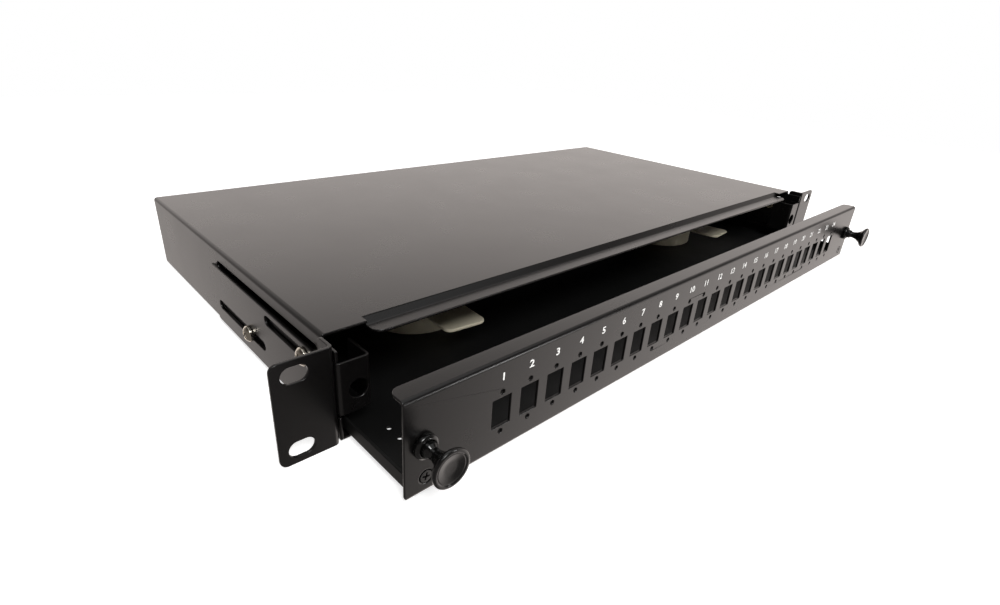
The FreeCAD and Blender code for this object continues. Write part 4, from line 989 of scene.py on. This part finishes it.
@dataclass
class SpliceComb:
    """The comb of splice slots, made by Geometry Nodes.

    Attributes:
        slots: Number of slots between the ridges.
        pitch: Distance between ridges in millimetres.
        ridge: Thickness of a ridge.
        height: Height of a ridge over the cassette's floor.
        plate: Thickness of the comb's plate.
        crown: Corner radius along a ridge's top.
        edge: Radius of the plate's edges.
    """

    slots: int = 24
    pitch: float = 3.0
    ridge: float = 1.0
    height: float = 6.4
    plate: float = 1.4
    crown: float = 0.4
    edge: float = 0.25

    def build(self, palette: Palette) -> None:
        """Make the comb in its place."""
        low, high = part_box("splice_comb")
        material = palette.of(FINISHES[Slot.BLACK_ABS])
        nodes = NodeModifier("splice_comb_ridges")
        count = nodes.add_input("Ridges", "Int", self.slots + 1)
        pitch = nodes.add_input("Pitch", "Float", self.pitch * MM)
        width = nodes.add_input("Ridge Width", "Float", self.ridge * MM)
        height = nodes.add_input("Ridge Height", "Float", self.height * MM)
        crown = nodes.add_input("Crown Radius", "Float", self.crown * MM)
        depth = nodes.add_input("Depth", "Float", high.y - low.y)
        outline = nodes.add("GeometryNodeCurvePrimitiveQuadrilateral", {"Width": width, "Height": height},
                            mode="RECTANGLE")
        soft = nodes.add("GeometryNodeFilletCurve", {
            "Curve": outline.outputs["Curve"], "Radius": crown, "Count": 4}, mode="POLY")
        path = nodes.add("GeometryNodeCurvePrimitiveLine", mode="POINTS")
        end = nodes.add("ShaderNodeCombineXYZ", {"Y": depth})
        nodes.tree.links.new(end.outputs["Vector"], path.inputs["End"])
        ridge = nodes.add("GeometryNodeCurveToMesh", {
            "Curve": path.outputs["Curve"], "Profile Curve": soft.outputs["Curve"], "Fill Caps": True})
        step = nodes.add("ShaderNodeCombineXYZ", {"X": pitch})
        row = nodes.add("GeometryNodeMeshLine", {"Count": count, "Offset": step.outputs["Vector"]},
                        mode="OFFSET")
        ridges = nodes.add("GeometryNodeInstanceOnPoints", {
            "Points": row.outputs["Mesh"], "Instance": ridge.outputs["Mesh"]})
        lift = nodes.add("ShaderNodeMath", {0: height, 1: 0.5}, operation="MULTIPLY")
        up = nodes.add("ShaderNodeCombineXYZ", {"Z": lift.outputs[0]})
        raised = nodes.add("GeometryNodeTransform", {
            "Geometry": ridges.outputs["Instances"], "Translation": up.outputs["Vector"]})
        both = nodes.add("GeometryNodeJoinGeometry")
        nodes.tree.links.new(nodes.entry.outputs["Geometry"], both.inputs["Geometry"])
        nodes.tree.links.new(raised.outputs["Geometry"], both.inputs["Geometry"])
        nodes.finish(both.outputs["Geometry"], material)
        work = bmesh.new()
        bmesh.ops.create_cube(work, size=1.0)
        size = Vector((high.x - low.x, high.y - low.y, self.plate * MM))
        bmesh.ops.scale(work, vec=size, verts=work.verts)
        bmesh.ops.translate(work, vec=size / 2 - Vector((self.ridge * MM / 2, 0, 0)), verts=work.verts)
        mesh = nodes.bake(edge_rounded(mesh_from(work, "comb_plate"), self.edge * MM, segments=2))
        mesh.transform(Matrix.Translation((low.x + self.ridge * MM / 2, low.y, low.z)))
        mesh.set_sharp_from_angle(angle=RIDGE_CREASE)
        stands_for(piece_from(mesh, "splice_comb_ridged", material), "splice_comb")


@dataclass
class ThumbNuts:
    """The knurled thumb nuts on the cassette, made by Geometry Nodes.

    Attributes:
        radius: Radius over the knurl in millimetres.
        bore: Radius of the threaded hole.
        ridges: Ridges round each nut.
        ridge: Radius of a ridge.
        bevel: Bevel at the ends.
    """

    radius: float = 5.0
    bore: float = 2.0
    ridges: int = 36
    ridge: float = 0.28
    bevel: float = 0.45

    def build(self, palette: Palette) -> None:
        """Make both nuts as one piece."""
        low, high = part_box("cassette_nuts")
        height = (high.z - low.z) / MM
        core = self.radius - self.ridge
        outline = arc_corners([
            (self.bore, 0, 0), (core - self.bevel, 0, 0), (core, self.bevel, 0.1),
            (core, height - self.bevel, 0.1), (core - self.bevel, height, 0.15),
            (self.bore + 0.4, height, 0.1), (self.bore, height - 0.4, 0), (self.bore, 0.2, 0)])
        body = turned(outline, steps=72)
        body.transform(Matrix.Scale(MM, 4))
        material = palette.of(FINISHES[Slot.NICKEL])
        nodes = NodeModifier("thumb_nut_knurl")
        ridges = nodes.add_input("Ridges", "Int", self.ridges)
        radius = nodes.add_input("Core Radius", "Float", core * MM)
        thick = nodes.add_input("Ridge Radius", "Float", self.ridge * MM)
        length = nodes.add_input("Ridge Length", "Float", (height - 2 * self.bevel) * MM)
        ring = nodes.add("GeometryNodeMeshCircle", {"Vertices": ridges, "Radius": radius})
        rod = nodes.add("GeometryNodeMeshCylinder", {"Vertices": 8, "Radius": thick, "Depth": length})
        set_round = nodes.add("GeometryNodeInstanceOnPoints", {
            "Points": ring.outputs["Mesh"], "Instance": rod.outputs["Mesh"]})
        raised = nodes.add("GeometryNodeTransform", {
            "Geometry": set_round.outputs["Instances"], "Translation": (0, 0, height * MM / 2)})
        both = nodes.add("GeometryNodeJoinGeometry")
        nodes.tree.links.new(nodes.entry.outputs["Geometry"], both.inputs["Geometry"])
        nodes.tree.links.new(raised.outputs["Geometry"], both.inputs["Geometry"])
        nodes.finish(both.outputs["Geometry"], material)
        nut = nodes.bake(body)
        parts = []
        for x in (low.x + self.radius * MM, high.x - self.radius * MM):
            one = nut.copy()
            one.transform(Matrix.Translation((x, (low.y + high.y) / 2, low.z)))
            parts.append(one)
        bpy.data.meshes.remove(nut)
        mesh = merged(parts, "thumb_nuts")
        mesh.set_sharp_from_angle(angle=RIDGE_CREASE)
        stands_for(piece_from(mesh, "cassette_nuts_knurled", material), "cassette_nuts")


# ---------------------------------------------------------------------------------------------------------
# The studio


def towards(azimuth: float, elevation: float) -> Vector:
    """Give the unit vector of a direction.

    Args:
        azimuth: Degrees from +Y towards +X.
        elevation: Degrees above the floor.

    Returns:
        The vector.
    """
    turn, rise = math.radians(azimuth), math.radians(elevation)
    return Vector((math.sin(turn) * math.cos(rise), math.cos(turn) * math.cos(rise), math.sin(rise)))


@dataclass(frozen=True)
class Softbox:
    """A square softbox that faces the box.

    Attributes:
        name: The light's name.
        azimuth: Direction from the box to the light, in degrees.
        elevation: Height of the light, in degrees.
        distance: Distance from the box in metres.
        side: Its side in metres.
        radiance: How bright its face is.
    """

    name: str
    azimuth: float
    elevation: float
    distance: float
    side: float
    radiance: float

    def build(self) -> None:
        """Hang the softbox."""
        data = bpy.data.lights.new(self.name, "AREA")
        data.shape = "SQUARE"
        data.size = self.side
        data.energy = self.radiance * math.pi * self.side ** 2
        light = linked(self.name, data)
        direction = towards(self.azimuth, self.elevation)
        light.location = direction * self.distance
        light.rotation_euler = (-direction).to_track_quat("-Z", "Y").to_euler()
        light.visible_camera = False


# The low front softbox draws the panel's bend, the left one lights the spools and the overhead one the floor.
SOFTBOXES = (
    Softbox("front_softbox", azimuth=150.0, elevation=8.0, distance=1.5, side=0.3, radiance=13.0),
    Softbox("left_softbox", azimuth=205.0, elevation=48.0, distance=1.5, side=0.5, radiance=16.0),
    Softbox("overhead_softbox", azimuth=60.0, elevation=88.0, distance=2.2, side=3.4, radiance=0.6),
)


@dataclass
class Studio:
    """Floor, light and camera.

    Azimuth runs from +Y towards +X, and all angles are in degrees.

    Attributes:
        eye: Place of the camera in metres.
        azimuth: Direction that the camera looks in.
        elevation: How far it looks down.
        roll: Its turn about its own axis.
        lens: Focal length in millimetres, on a 36 mm sensor.
        room: Radiance of the white room where it is lit.
        shade: Share of that radiance in the unlit part of the room.
        floor_span: Side of the floor in metres.
        floor_glow: Light that the light-table floor gives by itself.
        low_window: Middle of the light near the horizon, half its full width and half its whole width.
        high_window: The same for the light higher up.
        horizon: Heights between which the low window gives way to the high one, as sines.
        zenith: Heights between which the high window fades, as sines.
        zenith_share: What is left of it above those.
    """

    eye: tuple[float, float, float] = (-0.2963, -0.1641, 0.1253)
    azimuth: float = 44.48
    elevation: float = 25.29
    roll: float = 3.81
    lens: float = 20.03
    room: float = 1.36
    shade: float = 0.14
    floor_span: float = 2.4
    floor_glow: float = 0.7
    low_window: tuple[float, float, float] = (62.0, 58.0, 99.0)
    high_window: tuple[float, float, float] = (38.0, 42.0, 72.0)
    horizon: tuple[float, float] = (-0.06, 0.18)
    zenith: tuple[float, float] = (0.34, 0.68)
    zenith_share: float = 0.12

    def camera(self) -> None:
        """Set up the camera."""
        data = bpy.data.cameras.new("camera")
        data.lens = self.lens
        data.sensor_width = 36.0
        data.clip_start = 0.01
        data.clip_end = 40.0
        camera = linked("camera", data)
        ahead = towards(self.azimuth, -self.elevation)
        aim = ahead.to_track_quat("-Z", "Y").to_matrix() @ Matrix.Rotation(math.radians(self.roll), 3, "Z")
        camera.matrix_world = Matrix.Translation(self.eye) @ aim.to_4x4()
        bpy.context.scene.camera = camera

    def floor(self) -> None:
        """Lay the pale light-table floor under the lowest point of the box."""
        work = bmesh.new()
        bmesh.ops.create_grid(work, x_segments=1, y_segments=1, size=self.floor_span / 2)
        bmesh.ops.translate(work, vec=(0, 0, CAD_BOX[0].z), verts=work.verts)
        mesh = mesh_from(work, "floor")
        white = bpy.data.materials.new("floor_white")
        white.use_nodes = True
        shader = white.node_tree.nodes["Principled BSDF"]
        shader.inputs["Base Color"].default_value = linear("#F4F4F3")
        shader.inputs["Roughness"].default_value = 0.9
        shader.inputs["Emission Color"].default_value = linear("#FFFFFF")
        shader.inputs["Emission Strength"].default_value = self.floor_glow
        piece = piece_from(mesh, "floor", white)
        piece.visible_glossy = False

    def surroundings(self) -> None:
        """Surround the box with a white room that is lit from the right and the rear."""
        world = bpy.data.worlds.new("white_room")
        world.use_nodes = True
        tree = world.node_tree
        place = add_node(tree, "ShaderNodeTexCoord").outputs["Generated"]
        split = add_node(tree, "ShaderNodeSeparateXYZ", {"Vector": place})
        turn = add_node(tree, "ShaderNodeMath", {0: split.outputs["X"], 1: split.outputs["Y"]},
                        operation="ARCTAN2")
        angle = add_node(tree, "ShaderNodeMath", {0: turn.outputs[0]}, operation="DEGREES").outputs[0]
        height = split.outputs["Z"]

        def window(centre: float, full: float, none: float) -> bpy.types.NodeSocket:
            """Let light in around one azimuth.

            Args:
                centre: The azimuth.
                full: Degrees to either side in which all the light comes in.
                none: Degrees to either side from which only the shade is left.

            Returns:
                The share of the light.
            """
            off = add_node(tree, "ShaderNodeMath", {0: angle, 1: centre}, operation="SUBTRACT")
            away = add_node(tree, "ShaderNodeMath", {0: off.outputs[0]}, operation="ABSOLUTE")
            return add_node(tree, "ShaderNodeMapRange", {
                "Value": away.outputs[0], "From Min": none, "From Max": full, "To Min": self.shade,
                "To Max": 1.0}, interpolation_type="SMOOTHSTEP").outputs["Result"]

        low, high = window(*self.low_window), window(*self.high_window)
        fade = add_node(tree, "ShaderNodeMapRange", {
            "Value": height, "From Min": self.zenith[0], "From Max": self.zenith[1], "To Min": 1.0,
            "To Max": self.zenith_share}, interpolation_type="SMOOTHSTEP")
        upper = add_node(tree, "ShaderNodeMath", {0: high, 1: fade.outputs["Result"]}, operation="MULTIPLY")
        rise = add_node(tree, "ShaderNodeMapRange", {
            "Value": height, "From Min": self.horizon[0], "From Max": self.horizon[1]},
            interpolation_type="SMOOTHSTEP")
        both = add_node(tree, "ShaderNodeMix", {0: rise.outputs["Result"], 2: low, 3: upper.outputs[0]},
                        data_type="FLOAT")
        power = add_node(tree, "ShaderNodeMath", {0: both.outputs[0], 1: self.room}, operation="MULTIPLY")
        room = tree.nodes["Background"]
        room.inputs["Color"].default_value = linear("#FFF6F1")
        tree.links.new(power.outputs[0], room.inputs["Strength"])
        # Seen directly, the room is an even white sweep.
        sweep = add_node(tree, "ShaderNodeBackground", {"Color": linear("#FFFFFF"), "Strength": 1.0})
        seen = add_node(tree, "ShaderNodeLightPath").outputs["Is Camera Ray"]
        mixed = add_node(tree, "ShaderNodeMixShader", {0: seen, 1: room.outputs[0], 2: sweep.outputs[0]})
        tree.links.new(mixed.outputs[0], tree.nodes["World Output"].inputs["Surface"])
        bpy.context.scene.world = world

    def build(self) -> None:
        """Set up the whole studio."""
        bpy.context.scene.view_settings.view_transform = "Standard"
        self.camera()
        self.floor()
        self.surroundings()
        for softbox in SOFTBOXES:
            softbox.build()
        log.info("studio is set")


def dress_nodes(palette: Palette) -> None:
    """Give every CAD node that still shows its finish."""
    for name, node in frame["nodes"].items():
        material = palette.of(FINISHES[SLOT_OF[name]])
        for entry in node.material_slots:
            entry.material = material


def main() -> None:
    """Build the box and its studio."""
    logging.basicConfig(level=logging.INFO, format="%(name)s: %(message)s")
    palette = Palette()
    dress_nodes(palette)
    Studio().build()
    SheetParts().build(palette)
    Mouldings().build(palette)
    PortNumbers().build(palette)
    for side in ("left", "right"):
        PushLatch(side).build(palette)
    Screws().build(palette)
    SpliceComb().build(palette)
    ThumbNuts().build(palette)


if __name__ == "__main__":
    main()
